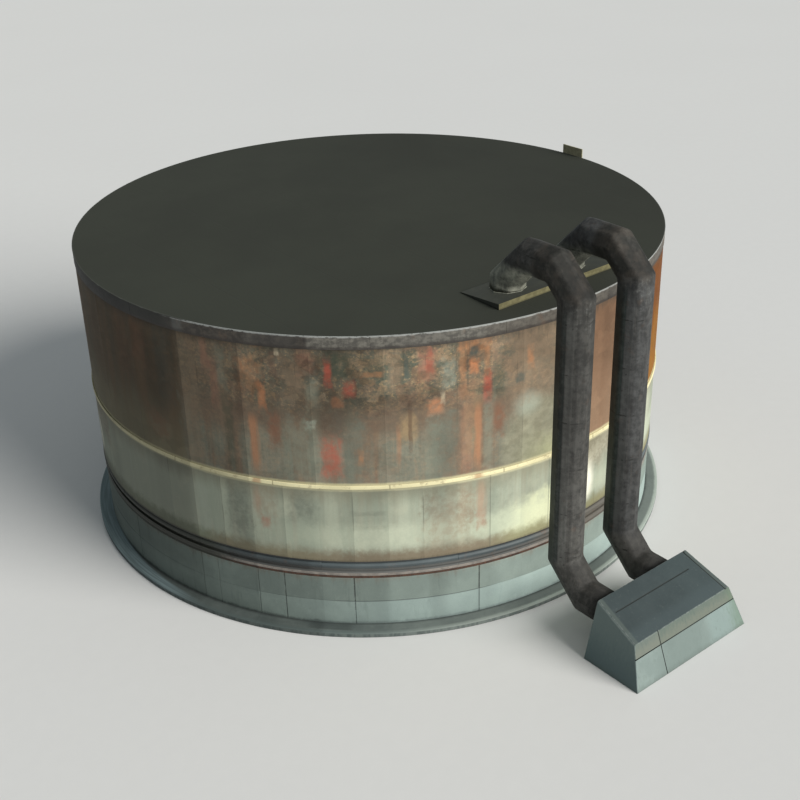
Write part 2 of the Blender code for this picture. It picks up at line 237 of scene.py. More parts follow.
class Nodes:
    """Makes the nodes of one node tree."""

    def __init__(self, tree):
        self.tree = tree

    def node(self, kind, **settings):
        """A new node. Each setting is the name of an input or of a property of the node."""
        made = self.tree.nodes.new("ShaderNode" + kind)
        for name, value in settings.items():
            if name in made.inputs:
                self.feed(made.inputs[name], value)
            else:
                setattr(made, name, value)
        return made

    def feed(self, socket, value):
        if isinstance(value, Value):
            value = value.socket
        if isinstance(value, bpy.types.NodeSocket):
            self.tree.links.new(value, socket)
            return
        if isinstance(value, tuple):
            value = [number / 1000 for number in value]
            value += [1] * (len(socket.default_value) - 3)
        socket.default_value = value

    def math(self, operation, *values):
        made = self.node("Math", operation=operation)
        for socket, value in zip(made.inputs, values):
            self.feed(socket, value)
        return Value(self, made.outputs[0])

    def most(self, *masks):
        whole = masks[0]
        for mask in masks[1:]:
            whole = self.math("MAXIMUM", whole, mask)
        return whole

    def mix(self, mask, base, top):
        made = self.node("Mix", data_type="RGBA")
        for place, value in ((0, mask), (6, base), (7, top)):
            self.feed(made.inputs[place], value)
        return made.outputs[2]


def stain_group():
    """Nodes that lay one stain with ragged edges over a colour."""
    tree = bpy.data.node_groups.new("stain", "ShaderNodeTree")
    names = [
        "Base", "Stain", "Place", "Height", "Rag", "Wear", "Azimuth", "Level", "Width", "Tall", "Strength"
    ]
    for name in names:
        kind = "NodeSocketColor" if name in ("Base", "Stain") else "NodeSocketFloat"
        tree.interface.new_socket(name, in_out="INPUT", socket_type=kind)
    tree.interface.new_socket("Color", in_out="OUTPUT", socket_type="NodeSocketColor")
    g = Nodes(tree)
    given = tree.nodes.new("NodeGroupInput").outputs
    numbers = [Value(g, given[name]) for name in names[2:]]
    place, height, rag, wear, azimuth, level, width, tall, strength = numbers
    reach = g.math("SMOOTH_MAX", abs(place - azimuth) / width, abs(height - level) / tall, 0.25) + rag
    mask = reach.fall(0.2, 0.7) * wear * strength
    result = tree.nodes.new("NodeGroupOutput")
    tree.links.new(g.mix(mask, given["Base"], given["Stain"]), result.inputs[0])
    return tree


class Finish(Nodes):
    """One surface finish, which works in the part's own metres and degrees and is built up colour by colour.

    az is the azimuth. place is the azimuth too, with the photographed side repeated round the back.
    ahead is 0 on the far side. rag makes the edges of stains ragged.
    """

    def __init__(self, name, specular):
        self.material = bpy.data.materials.new(name)
        self.material.use_nodes = True
        super().__init__(self.material.node_tree)
        self.shader = self.tree.nodes["Principled BSDF"].inputs
        self.shader["Specular IOR Level"].default_value = specular
        self.given = self.node("TexCoord").outputs
        self.x, self.y, self.z = self.parts("XYZ", self.given["Object"])
        self.az = self.math("ARCTAN2", self.x, self.y * -1) * math.degrees(1)
        self.arc = self.az * math.radians(TANK_RADIUS)
        self.distance = self.math("SQRT", self.x * self.x + self.y * self.y)
        self.ahead = self.az.rise(-150, -120)
        beyond = self.math("GREATER_THAN", self.az, 62)
        behind = self.math("LESS_THAN", self.az, -100)
        self.place = self.az - beyond * 138 + behind * 113
        self.rag = self.noise(0.13, 4, 0.62, 2, squash=0.8).sway(0.9)

    def parts(self, kind, socket):
        split = self.node("Separate" + kind)
        self.feed(split.inputs[0], socket)
        return [Value(self, part) for part in split.outputs]

    def noise(self, size, detail=3, rough=0.55, shift=0, squash=1):
        """Noise with clouds of about a size, in metres. Squash makes them lower, or taller below 1."""
        point = self.given["Object"]
        if shift or squash != 1:
            moved = self.node("VectorMath", operation="MULTIPLY_ADD", Vector=point)
            moved.inputs[1].default_value = (1, 1, squash)
            moved.inputs[2].default_value = (shift, shift * 0.7, shift * 1.3)
            point = moved.outputs[0]
        made = self.node("TexNoise", Vector=point, Scale=1 / size, Detail=detail, Roughness=rough)
        return Value(self, made.outputs[0])

    def streaks(self, size, length, detail=3, shift=0):
        """Noise drawn out along the height, for runs of dirt and rust."""
        return self.noise(size, detail, 0.6, shift, size / length)

    def plate_chance(self, seed):
        """A number from 0 to 1 for each width of plate."""
        count = self.math("FLOOR", self.az / PLATE_TURN)
        return Value(self, self.node("TexWhiteNoise", noise_dimensions="1D", W=count + seed).outputs["Value"])

    def patches(self, width, height, seed):
        """Three numbers from 0 to 1, each nearly even over every soft-edged, squarish patch of the shell."""
        across = self.arc / width + self.noise(0.5, shift=seed).sway(0.5) + seed
        up = self.z / height + self.noise(0.4, shift=seed + 3).sway(0.5)
        made = self.node(
            "TexVoronoi", voronoi_dimensions="2D", feature="SMOOTH_F1", distance="CHEBYCHEV",
            Vector=self.node("CombineXYZ", X=across, Y=up).outputs[0], Scale=1, Smoothness=0.35,
        )
        return self.parts("Color", made.outputs["Color"])

    def glow(self, azimuth, height, width, tall, ragged=0, inner=0.2):
        """1 in the middle of a smooth oval on the shell and 0 outside it."""
        across = (self.place - azimuth) / width
        up = (self.z - height) / tall
        return (self.math("SQRT", across * across + up * up) + self.rag * ragged).fall(inner, 1)

    def run(self, azimuth, top, bottom, width, shift=0):
        """A run of rust that wanders a little on its way down and thins out at both ends."""
        across = abs(self.place - azimuth + self.streaks(0.3, 1.5, shift=shift).sway(1.1))
        broken = self.streaks(0.06, 0.5, shift=shift + 4).sway(1.2)
        height = self.z.rise(bottom, bottom + 0.5) * self.z.fall(top - 0.2, top + 0.1)
        return (across / width + broken).fall(0.2, 1.2) * height

    def seam_grime(self, turn, offset):
        """A thin dark line along each joint between plates."""
        return self.az.off_line(turn, offset).fall(0.04, 0.16)

    def painted_side_shade(self, darkest, start, end):
        """Painted shade: darker on the -X side of the tank, lighter round the ducts, between them at the
        back.

        Seven tenths of the change are made in steps, one for each width of plate, as painted shading of flat
        facets.
        """
        middle = (self.math("FLOOR", self.az / PLATE_TURN) + 0.5) * PLATE_TURN
        azimuth = self.az * 0.3 + middle * 0.7
        painted_light = azimuth.rise(start, end) + azimuth.fall(-170, -95) * 0.55 - azimuth.rise(95, 175) * 0.45
        return darkest + (1 - darkest) * painted_light

    def marked(self, name):
        """1 on the faces that a shape marks with a name."""
        return Value(self, self.node("Attribute", attribute_name=name).outputs["Fac"])

    def edge_wear(self, wear):
        """1 on the rounded edges of a piece, broken up by noise."""
        return self.marked("edge") * wear.rise(0.4, 0.58)

    def tone(self, colour, factor):
        """A colour made lighter or darker by a number that varies over the surface."""
        return self.node("VectorMath", operation="SCALE", Vector=colour, Scale=factor).outputs[0]

    def start(self, mask, base, top):
        self.colour = self.mix(mask, base, top)

    def lay(self, mask, top):
        """Lays a colour over what there is, where the mask is high."""
        self.start(mask, self.colour, top)

    def shade(self, factor):
        self.colour = self.tone(self.colour, factor)

    def stain(self, stains, wear):
        """Lays a list of stains, thinned out where the wear is low."""
        for *oval, colour, strength in stains:
            made = self.node("Group", node_tree=STAIN_NODES)
            values = (self.colour, colour, self.place, self.z, self.rag, wear, *oval, strength)
            for socket, value in zip(made.inputs, values):
                self.feed(socket, value)
            self.colour = made.outputs[0]

    def finish(self, roughness, height, depth):
        bump = self.node("Bump", Height=height, Distance=depth, Strength=1)
        self.feed(self.shader["Base Color"], self.colour)
        self.feed(self.shader["Roughness"], roughness)
        self.feed(self.shader["Normal"], bump.outputs[0])
        return self.material


STAIN_NODES = stain_group()


def panel_azimuths():
    """Vertical joints of the plinth: those in the photograph, carried on round the back."""
    joints = list(PANEL_JOINTS)
    while joints[-1] + PANEL_TURN < 360 + PANEL_JOINTS[0] - PANEL_TURN / 2:
        joints.append(joints[-1] + PANEL_TURN)
    return sorted((joint + 180) % 360 - 180 for joint in joints)


def upper_paint():
    f = Finish("upper_rust_paint", 0.2)
    broad = f.noise(1.3, 4, squash=0.7)
    cloud = f.noise(0.6, 5, 0.62, 4, 1.2)
    mottle = f.noise(0.2, 5, 0.62, 1, 1.3)
    speck = f.noise(0.075, 4, 0.6, 12, 1.2)
    fleck = f.noise(0.055, 2, 0.5, 21, 1.3)
    grain = f.noise(0.045, 4, 0.65)
    fine = f.noise(0.012, 2)
    column = f.streaks(0.42, 5, 4, 6)
    streak = f.streaks(0.15, 1.8, 5)
    thin = f.streaks(0.04, 0.8, 4, 7)
    hue, light, odd = f.patches(0.4, 0.3, 3)
    small_hue, small_light, small_odd = f.patches(0.17, 0.14, 9)
    high = (f.z + column.sway(0.6)).rise(4.35, 4.85) * (0.4 + 0.6 * f.place.band(-60, -17, 6))
    low = (f.z + column.sway(0.8)).fall(3.75, 4.35)

    f.start(broad.rise(0.35, 0.65), (155, 132, 95), (195, 152, 108))
    f.lay(column.rise(0.44, 0.62) * 0.4, (210, 132, 88))
    f.lay(low * column.fall(0.48, 0.64) * 0.8, f.mix(thin, (170, 178, 138), (240, 244, 190)))
    for mask, top in (
        (low * streak.rise(0.5, 0.66) * 0.4, (275, 250, 180)),
        (low * hue.rise(0.45, 0.85) * 0.3, (215, 150, 105)),
        (streak.rise(0.54, 0.7) * 0.25, (250, 172, 120)),
        (high * hue.fall(0.2, 0.6) * 0.5, (105, 122, 92)),
        (high * hue.rise(0.45, 0.85) * 0.4, (235, 152, 98)),
        (high * small_hue.fall(0.2, 0.55) * 0.4, (120, 140, 108)),
        (high * small_hue.rise(0.5, 0.85) * 0.45, (285, 200, 118)),
        (high * odd.rise(0.72, 0.92) * 0.35, (330, 170, 98)),
        (high * odd.fall(0.1, 0.28) * 0.35, (78, 92, 66)),
        (high * small_odd.rise(0.78, 0.95) * 0.35, (350, 270, 180)),
        (high * small_odd.fall(0.06, 0.2) * 0.35, (72, 70, 56)),
        (speck.fall(0.34, 0.5) * (0.25 + 0.3 * high), (105, 118, 86)),
        (speck.rise(0.51, 0.64) * (0.22 + 0.38 * high), (310, 222, 132)),
        (high * fleck.rise(0.6, 0.7) * 0.55, (420, 300, 155)),
        (high * fleck.fall(0.32, 0.42) * 0.5, (62, 72, 54)),
        (cloud.fall(0.3, 0.44) * 0.3, (100, 82, 60)),
    ):
        f.lay(mask, top)
    brown = (f.z + cloud.sway(0.9)).band(4.3, 4.62, 0.22) * f.place.band(-66, -14, 4)
    f.lay(brown * 0.5, (125, 85, 60))
    left = (f.az + column.sway(3)).fall(-73, -71.4) * f.ahead
    bark = f.mix(column.rise(0.36, 0.64), (104, 82, 52), (142, 96, 56))
    f.lay(left * 0.84, f.mix((f.z + column.sway(0.8)).rise(3.2, 4.6), (205, 182, 116), bark))
    clay = f.mix((f.z + mottle.sway(1.2)).rise(3.2, 5.6), (262, 160, 98), (180, 98, 56))
    f.lay(f.az.band(1.5, 14, 1) * 0.85, clay)
    # Bright orange rust on the +X side, partly a painted warm rim light.
    orange_rust_and_rim_light = f.mix((f.z + streak.sway(2)).fall(4.1, 5), (140, 42, 3), (230, 92, 6))
    orange_rust_and_rim_light = f.mix(cloud.rise(0.5, 0.65) * 0.5, orange_rust_and_rim_light, (105, 42, 10))
    f.lay(f.az.band(20, 66, 3) * 0.96, orange_rust_and_rim_light)
    # Painted light left of the ducts: a pale oval highlight, a pale mint highlight above it and a pale band
    # low on the course.
    painted_highlight = f.glow(-8.6, 3.3, 8.6, 1.3, 0.25, 0.74) * f.place.fall(-2, 1)
    f.lay(painted_highlight * 0.85, f.mix(mottle.rise(0.38, 0.62), (225, 220, 155), (290, 285, 205)))
    f.lay(f.glow(-11, 4.33, 4, 0.36, 0.5) * 0.7, (335, 370, 300))
    lit = f.place.rise(-15, -5) * (f.z + cloud.sway(1.4)).fall(3.15, 4) * f.place.fall(-1, 1.5)
    f.lay(lit * 0.6, (400, 420, 240))
    f.stain(UPPER_STAINS, 0.5 + 0.62 * mottle.rise(0.32, 0.56))
    f.lay(thin.rise(0.62, 0.72) * f.z.rise(4.2, 5.2) * (1 - 0.6 * left) * 0.45, (70, 60, 46))
    runs = f.most(
        f.run(-58.4, 4.44, 3.1, 1.1), f.run(-20.3, 4.56, 3.1, 0.85, 3), f.run(-34, 4.3, 3.3, 0.5, 5) * 0.5
    )
    f.lay(runs * 0.7, (420, 200, 105))
    # Darker just under the curb: soot, and a painted shadow of the curb.
    soot_and_shade = (f.z + thin.sway(0.25)).rise(5.6, 5.8)
    f.lay(soot_and_shade * 0.6, (70, 58, 44))
    halo = (f.z + mottle.sway(0.03)).fall(COURSE_JOINT + 0.045, COURSE_JOINT + 0.105)
    f.lay(halo * 0.85, (560, 520, 330))
    f.lay(f.seam_grime(PLATE_TURN, 0) * streak.rise(0.44, 0.62) * 0.25, (75, 62, 48))
    spread = 0.97 + high * (light * 0.34 + small_light * 0.36 - 0.4) + low * light.sway(0.2)
    shaded = 0.18 * f.az.band(6.2, 14, 0.8) * f.z.rise(3.7, 4.6)
    for strength, *oval in (
        (0.32, -43.5, 5.2, 9.5, 1.1), (0.2, -78.5, 4.7, 4, 1.3), (0.12, -26.5, 3.5, 3.6, 0.7),
        (0.16, -10.5, 5.45, 5, 0.6), (0.18, -50.5, 5.5, 3, 0.7),
    ):
        shaded += strength * f.glow(*oval)
    tone = (0.92 + 0.14 * f.plate_chance(3)) * (0.8 + 0.28 * grain + 0.08 * fine + 0.1 * thin)
    f.shade(tone * spread * (1 - shaded) * f.painted_side_shade(0.48, -84, -44))
    height = grain * 0.6 + fine * 0.25 + cloud.rise(0.5, 0.62) * 0.25 + mottle * 0.3
    return f.finish(0.62 + 0.3 * grain, height, 0.003)


def lower_paint():
    f = Finish("lower_course_paint", 0.3)
    column = f.streaks(0.5, 5, 4, 3)
    streak = f.streaks(0.2, 2.2, 5)
    thin = f.streaks(0.04, 1.2, 4, 5)
    cloud = f.noise(0.6, 5, 0.62, 2)
    mottle = f.noise(0.14, 5, 0.66, 8)
    grain = f.noise(0.035, 4, 0.7)
    fine = f.noise(0.01, 2)
    left = f.az.fall(-75, -71) * f.ahead
    f.start(column.rise(0.36, 0.64) * (1 - 0.75 * left) + 0.4 * left, (290, 325, 255), (400, 430, 335))
    f.lay(streak.rise(0.46, 0.68) * (0.45 - 0.3 * left), (330, 315, 240))
    f.lay(thin.rise(0.52, 0.72) * (0.16 - 0.12 * left), (230, 250, 200))
    f.lay(cloud.rise(0.5, 0.7) * 0.4, (460, 470, 355))
    level = (f.z + streak.sway(0.15)).band(1.82, 2.26, 0.16) * f.place.rise(-62, -44)
    f.lay(level * 0.5, (480, 530, 410))
    f.stain(LOWER_STAINS, 0.5 + 0.6 * mottle.rise(0.36, 0.6))
    # Painted light: a pale cream pool of light on the course left of the ducts, reaching higher nearer them.
    painted_light_pool = (f.place + cloud.sway(7)).rise(-27, -5) * f.place.fall(-1, 1.5)
    painted_light_top = (f.z - painted_light_pool * 0.38 + cloud.sway(0.9) + mottle.sway(0.4)).fall(1.74, 2.2)
    f.lay(painted_light_pool * painted_light_top * 0.6, (600, 650, 460))
    f.lay(painted_light_pool.rise(0.5, 1) * painted_light_top * 0.5, (860, 890, 580))
    dust = f.place.band(1.2, 14, 1) * (f.z + cloud.sway(0.8)).rise(2.2, 2.7)
    f.lay(dust * 0.65, f.mix(mottle.rise(0.4, 0.6), (250, 210, 150), (430, 390, 290)))
    # Painted highlight: a near-white glare between the ducts.
    f.lay(f.glow(3.6, 2.15, 2.6, 0.6, 0.3) * 0.9, (950, 930, 790))
    foot = (f.z + streak.sway(0.12) + mottle.sway(0.3)).fall(1.6, 1.86)
    tan = (160, 178, 115)
    for *edge, top in ((-72, -66, (165, 140, 84)), (-56, -40, (170, 128, 82)), (-20, -12, (220, 205, 105))):
        tan = f.mix(f.az.rise(*edge), tan, top)
    f.lay(foot * 0.85, tan)
    sludge = (f.z + thin.sway(0.08) + mottle.sway(0.06)).fall(1.51, 1.58)
    f.lay(sludge * 0.65, (105, 90, 58))
    rust = f.most(f.run(-58.9, 3.06, 2.2, 0.8, 2) * 0.7, f.run(-19.8, 3.06, 2, 1, 3))
    f.lay(rust * 0.55, (400, 235, 150))
    head = (f.z + streak.sway(0.4)).rise(2.62, 3.05)
    f.lay(head * 0.55, (200, 184, 122))
    halo = (f.z + mottle.sway(0.03)).rise(COURSE_JOINT - 0.11, COURSE_JOINT - 0.05)
    f.lay(halo * 0.8, (600, 570, 370))
    bits = f.noise(0.5, shift=14, squash=0.5).rise(0.44, 0.6)
    f.lay(f.seam_grime(PLATE_TURN, PLATE_TURN / 2) * bits * 0.45, (100, 102, 80))
    # Painted shading of flat facets: some plates made lighter or darker, one by one.
    step = 1
    for strength, *plates in (
        (0.15, -72.6, -64.5, 0.5), (-0.1, -82, -73.2, 1), (0.14 * foot, -59.5, -44.5, 1),
        (0.1 * head, -12, -2, 1.5), (-0.14 * head, -39.5, -24, 1.5), (-0.12 * head, -80, -64, 2),
    ):
        step += strength * f.az.band(*plates)
    tone = (0.88 + 0.2 * f.plate_chance(8)) * (0.86 + 0.2 * grain + 0.08 * fine)
    f.shade(tone * f.painted_side_shade(0.44, -86, -34) * step)
    return f.finish(0.5 + 0.3 * grain, grain * 0.5 + fine * 0.25 + mottle * 0.25, 0.002)


def concrete(name, light, dark, wet):
    """Cast concrete: cloudy, pitted and streaked. Returns the finish and its noises."""
    f = Finish(name, 0.25)
    mottle = f.noise(0.16, 5, 0.7, 3)
    grain = f.noise(0.02, 4, 0.7)
    pits = f.noise(0.035, 2, shift=9).rise(0.68, 0.78)
    streak = f.streaks(0.1, 0.7, 4, 2)
    f.start(f.noise(0.9, 6, 0.62).rise(0.35, 0.65), dark, light)
    f.lay(streak.rise(0.55, 0.72) * 0.35, wet)
    f.lay(mottle.rise(0.56, 0.74) * 0.3, tuple(1.3 * c for c in light))
    f.lay(pits * 0.5, wet)
    return f, mottle, grain, pits, streak


def plinth_concrete():
    f, mottle, grain, pits, streak = concrete(
        "plinth_concrete", (235, 290, 262), (185, 230, 210), (115, 148, 132)
    )
    plain = f.az.fall(-68, -56) * f.ahead
    upper = f.z.rise(PANEL_LEVEL - 0.01, PANEL_LEVEL + 0.01) * (1 - plain) + 0.5 * plain
    f.lay(upper * 0.3, (175, 210, 190))
    sharp = 0.22 - 0.14 * plain + 0.78 * f.az.band(-46, -18, 3)
    f.lay(abs(f.z - PANEL_LEVEL).fall(0.004, 0.016) * sharp * 0.8, (45, 50, 45))
    foot = (f.z + mottle.sway(0.12)).fall(FOOTING_TOP, FOOTING_TOP + 0.07)
    f.lay(foot * 0.75, (50, 60, 56))
    joints = f.most(*(abs(f.az - azimuth).fall(0.05, 0.2) for azimuth in panel_azimuths()))
    f.lay(joints * (0.15 + 0.85 * f.az.rise(-64, -50)) * mottle.rise(0.3, 0.5) * 0.75, (40, 42, 38))
    f.lay((f.z + streak.sway(0.5)).rise(1.02, 1.22) * 0.35, (190, 145, 110))
    f.lay((1 - upper) * f.az.rise(-62, -30) * 0.4, (225, 288, 285))
    # Painted light and shade: a little darker high on the -X side, lighter towards the ducts, and lighter
    # still low down where the block's shadow falls.
    painted_light = 1 - 0.2 * f.az.fall(-74, -69) * f.ahead * f.z.rise(0.45, 0.85)
    for strength, *panels in ((0.2, -26, 60, 1.5), (0.24, -17, 60, 1.5), (0.3 * (1 - upper), -12, 1, 2)):
        painted_light += strength * f.az.band(*panels)
    course = 1 - 0.2 * upper + 0.16 * f.az.band(-36.5, -29, 0.8)
    f.shade(painted_light * course * f.painted_side_shade(0.55, -84, -34) * (0.86 + 0.28 * grain))
    return f.finish(0.78 + 0.18 * grain, grain * 0.5 + mottle * 0.5 - pits * 0.6, 0.004)


def footing_concrete():
    f, mottle, grain, pits, streak = concrete(
        "footing_concrete", (150, 178, 166), (105, 128, 122), (65, 82, 80)
    )
    rings = f.node("CombineXYZ", X=f.distance / 0.035, Y=f.arc / 1.1)
    brushed = Value(f, f.node("TexNoise", Vector=rings.outputs[0], Scale=1, Detail=4).outputs[0])
    right = f.az.rise(-46, -14)
    f.lay(right * 0.35, (215, 240, 222))
    # Painted shade in the crease where the ledge meets the plinth.
    root = (f.distance + mottle.sway(0.05)).fall(PLINTH_RADIUS, PLINTH_RADIUS + 0.06)
    f.lay(root * 0.7, (45, 54, 52))
    # Painted highlight along the outer rim of the ledge, brightest towards the ducts.
    edge = f.mix(right, (122, 156, 150), (340, 380, 345))
    edge = f.mix(f.az.rise(-14, -9), edge, (450, 510, 460))
    f.lay((f.distance + mottle.sway(0.04)).rise(6.17, 6.225) * 0.75, edge)
    # Pale blue on the -X side of the ledge's rim: painted cool light.
    inset = (f.az + 90) * 0.006
    left = f.az.fall(-82, -70) * (f.distance - inset).rise(6.01, 6.07) * f.ahead
    f.lay(left * 0.85, f.mix(brushed.rise(0.38, 0.62), (250, 335, 350), (345, 450, 465)))
    f.lay(f.az.band(-50.5, -43, 1) * f.distance.fall(6.15, 6.19) * 0.6, (50, 62, 60))
    side = f.z.fall(FOOTING_EDGE - 0.025, FOOTING_EDGE - 0.007)
    f.lay(side * 0.8, f.mix(streak.rise(0.4, 0.6), (70, 88, 86), (140, 165, 155)))
    dim = f.painted_side_shade(0.6, -80, -34) * (0.92 - 0.16 * f.az.band(-60, -48, 0.8))
    f.shade(dim * (0.86 + 0.28 * grain) * (0.88 + 0.24 * brushed))
    return f.finish(0.78 + 0.18 * grain, grain * 0.5 + mottle * 0.5 - pits * 0.6, 0.004)


def block_concrete():
    f = Finish("block_concrete", 0.25)
    cloud = f.noise(0.5, 6, 0.62)
    mottle = f.noise(0.09, 5, 0.7, 3)
    grain = f.noise(0.012, 4, 0.7)
    pits = f.noise(0.02, 2, shift=9).rise(0.7, 0.78)
    streak = f.streaks(0.05, 0.4, 4, 2)
    upward = f.z - BLOCK_OUTER_HEIGHT - (BLOCK_TOP_OUTER + f.y) * BLOCK_FALL
    on_top = upward.rise(-0.022, -0.012) * (f.y + BLOCK_TOP_OUTER).rise(-0.004, 0.01)
    across = abs(f.x) + f.z * BLOCK_BATTER

    lower = f.mix(cloud.rise(0.4, 0.6), (182, 228, 216), (208, 258, 244))
    lower = f.mix(abs(f.x + 0.15).fall(0.3, 0.9) * 0.75, lower, (150, 190, 178))
    lower = f.mix(f.x.rise(0.45, 0.7) * 0.6, lower, (215, 280, 270))
    upper = f.mix(f.x.rise(-0.75, -0.62), (122, 148, 132), (109, 138, 120))
    upper = f.mix((f.z + streak.sway(0.3)).fall(0.56, 0.8) * 0.35, upper, (205, 205, 160))
    joint = (f.z + mottle.sway(0.02)).rise(BLOCK_JOINT_LEVEL - 0.01, BLOCK_JOINT_LEVEL + 0.01)
    front = f.mix((f.x + streak.sway(0.4)).rise(1.05, 1.4) * 0.5, f.mix(joint, lower, upper), (120, 180, 120))
    top = f.mix(cloud.rise(0.25, 0.75), (42, 57, 60), (53, 70, 73))
    top = f.mix((f.x + cloud.sway(0.8)).rise(-0.1, 0.9) * 0.35, top, (62, 86, 90))
    top = f.mix(f.y.fall(-8.62, -8.42) * 0.5, top, (68, 92, 98))
    top = f.mix(across.rise(1.36, 1.4) * 0.5, top, (110, 135, 122))
    end = f.mix((f.z + streak.sway(0.5)).rise(0.1, 0.9), (100, 138, 140), (152, 194, 188))
    f.start(on_top, front, top)
    f.lay(across.rise(BLOCK_FOOT_HALF - 0.016, BLOCK_FOOT_HALF - 0.006), end)
    f.lay(streak.rise(0.56, 0.74) * 0.25, (90, 115, 100))
    f.lay(mottle.rise(0.58, 0.76) * 0.18, (230, 260, 245))
    f.lay((f.z + mottle.sway(0.15)).fall(-0.02, 0.12) * 0.4, (80, 95, 85))
    f.lay(f.edge_wear(mottle) * 0.35, (260, 290, 275))
    f.lay(f.marked("groove") * 0.92, (32, 37, 35))
    f.lay(pits * 0.4, (80, 90, 80))
    f.shade(0.88 + 0.24 * grain)
    return f.finish(0.78 + 0.18 * grain, grain * 0.5 + mottle * 0.5 - pits * 0.5, 0.002)


def roof_cover():
    f = Finish("roof_cover", 0.3)
    mottle = f.noise(0.3, 5, 0.65, 3)
    grain = f.noise(0.03, 4, 0.7)
    f.start(f.noise(2.4, 5, 0.55).rise(0.3, 0.7), (32, 35.5, 27), (37, 41.2, 31))
    f.lay(mottle.rise(0.55, 0.8) * 0.25, (48, 51, 40))
    f.lay(f.distance.rise(5.984, 5.994) * 0.4, (75, 76, 70))
    # Bare worn steel along the outer edge of the roof plate, with a painted highlight that fades out on the
    # -X side.
    side = f.distance.rise(ROOF_EDGE - 0.009, ROOF_EDGE - 0.003)
    worn = (mottle + f.az.rise(-72, -66) * 0.2).rise(0.5, 0.62)
    f.lay(side * worn * (0.15 + 0.85 * f.az.rise(-74, -68)) * 0.9, (330, 345, 335))
    lap = f.x.off_line(1.8, -0.9).fall(0.004, 0.014)
    f.lay(lap * 0.35, (34, 36, 30))
    # Painted shade: the roof is darker towards +X.
    f.shade((1 - 0.16 * f.x.rise(-1, 5)) * (0.88 + 0.24 * grain))
    return f.finish(0.78 + 0.16 * grain, grain * 0.5 + mottle * 0.5 - lap * 0.5, 0.004)


def curb_steel():
    f = Finish("curb_steel", 0.4)
    mottle = f.noise(0.12, 5, 0.65, squash=1.6)
    streak = f.streaks(0.05, 0.35)
    wide = f.noise(0.9, shift=5, squash=0.2)
    grain = f.noise(0.012, 3, 0.7)
    right = f.az.rise(-76, -70)
    slate = f.mix(mottle.rise(0.4, 0.6), (17, 17.6, 15), (28, 28.5, 24.4))
    cloudy = (mottle + streak.sway(0.3)).rise(0.36, 0.64)
    brown = f.mix(cloudy, (30, 26, 22), (66, 57, 47))
    brown = f.mix(f.az.rise(-48.6, -47.6), brown, f.mix(cloudy, (70, 66, 58), (150, 142, 122)))
    brown = f.mix(f.az.rise(-21, -17) * 0.5, brown, (66, 56, 46))
    f.start(right, slate, brown)
    f.lay(wide.rise(0.5, 0.7) * right * 0.3, (95, 90, 82))
    f.lay(f.az.band(-72.5, -70.5, 0.4) * 0.4, (120, 125, 120))
    # Painted highlight, broken up like scuffs, along the curb's top edge from -76 degrees on.
    top = (f.z + mottle.sway(0.012)).rise(5.985, 5.996) * right
    f.lay(top * mottle.rise(0.34, 0.52), (300, 310, 300))
    # Painted shadow along the curb's lower edge.
    lip = (f.z + mottle.sway(0.05)).fall(CURB_BOTTOM + 0.02, CURB_BOTTOM + 0.08)
    f.lay(lip * 0.7, (30, 24, 21))
    # Orange and tan rust on the +X side, partly a painted warm rim light.
    f.lay(f.az.band(38, 70, 3) * 0.8, f.mix(cloudy, (150, 100, 50), (260, 235, 165)))
    rust = f.noise(0.25, 5, shift=8, squash=0.6).rise(0.58, 0.72)
    f.lay(rust * 0.35 * right, (130, 80, 52))
    # Painted shade: darker on the -X side and on a few plates.
    painted_shade = 0
    for strength, *plates in (
        (0.2, -56.8, -47.8, 0.5), (0.58, -130, -84, 3), (0.18, -82, -73, 3), (0.25, 6, 17, 2),
    ):
        painted_shade += strength * f.az.band(*plates)
    f.shade((1 - painted_shade) * (0.85 + 0.3 * grain))
    return f.finish(0.5 + 0.35 * mottle, grain * 0.4 + mottle * 0.4 + rust * 0.2, 0.002)


def ring_paint():
    f = Finish("ring_paint", 0.35)
    mottle = f.noise(0.14, 5, 0.65)
    grain = f.noise(0.012, 3, 0.7)
    f.start(f.noise(1.1, shift=5).rise(0.35, 0.65), (640, 590, 360), (800, 740, 460))
    f.lay(mottle.rise(0.54, 0.68) * 0.6, (360, 300, 180))
    f.lay(f.z.fall(3.064, 3.08) * 0.5, (300, 260, 150))
    f.stain(RING_STAINS, 1)
    f.lay(f.seam_grime(RING_TURN, RING_START) * 0.5, (160, 135, 80))
    f.shade((0.86 + 0.28 * grain) * f.painted_side_shade(0.42, -80, -46))
    return f.finish(0.5 + 0.3 * mottle, grain * 0.4 + mottle * 0.4, 0.002)


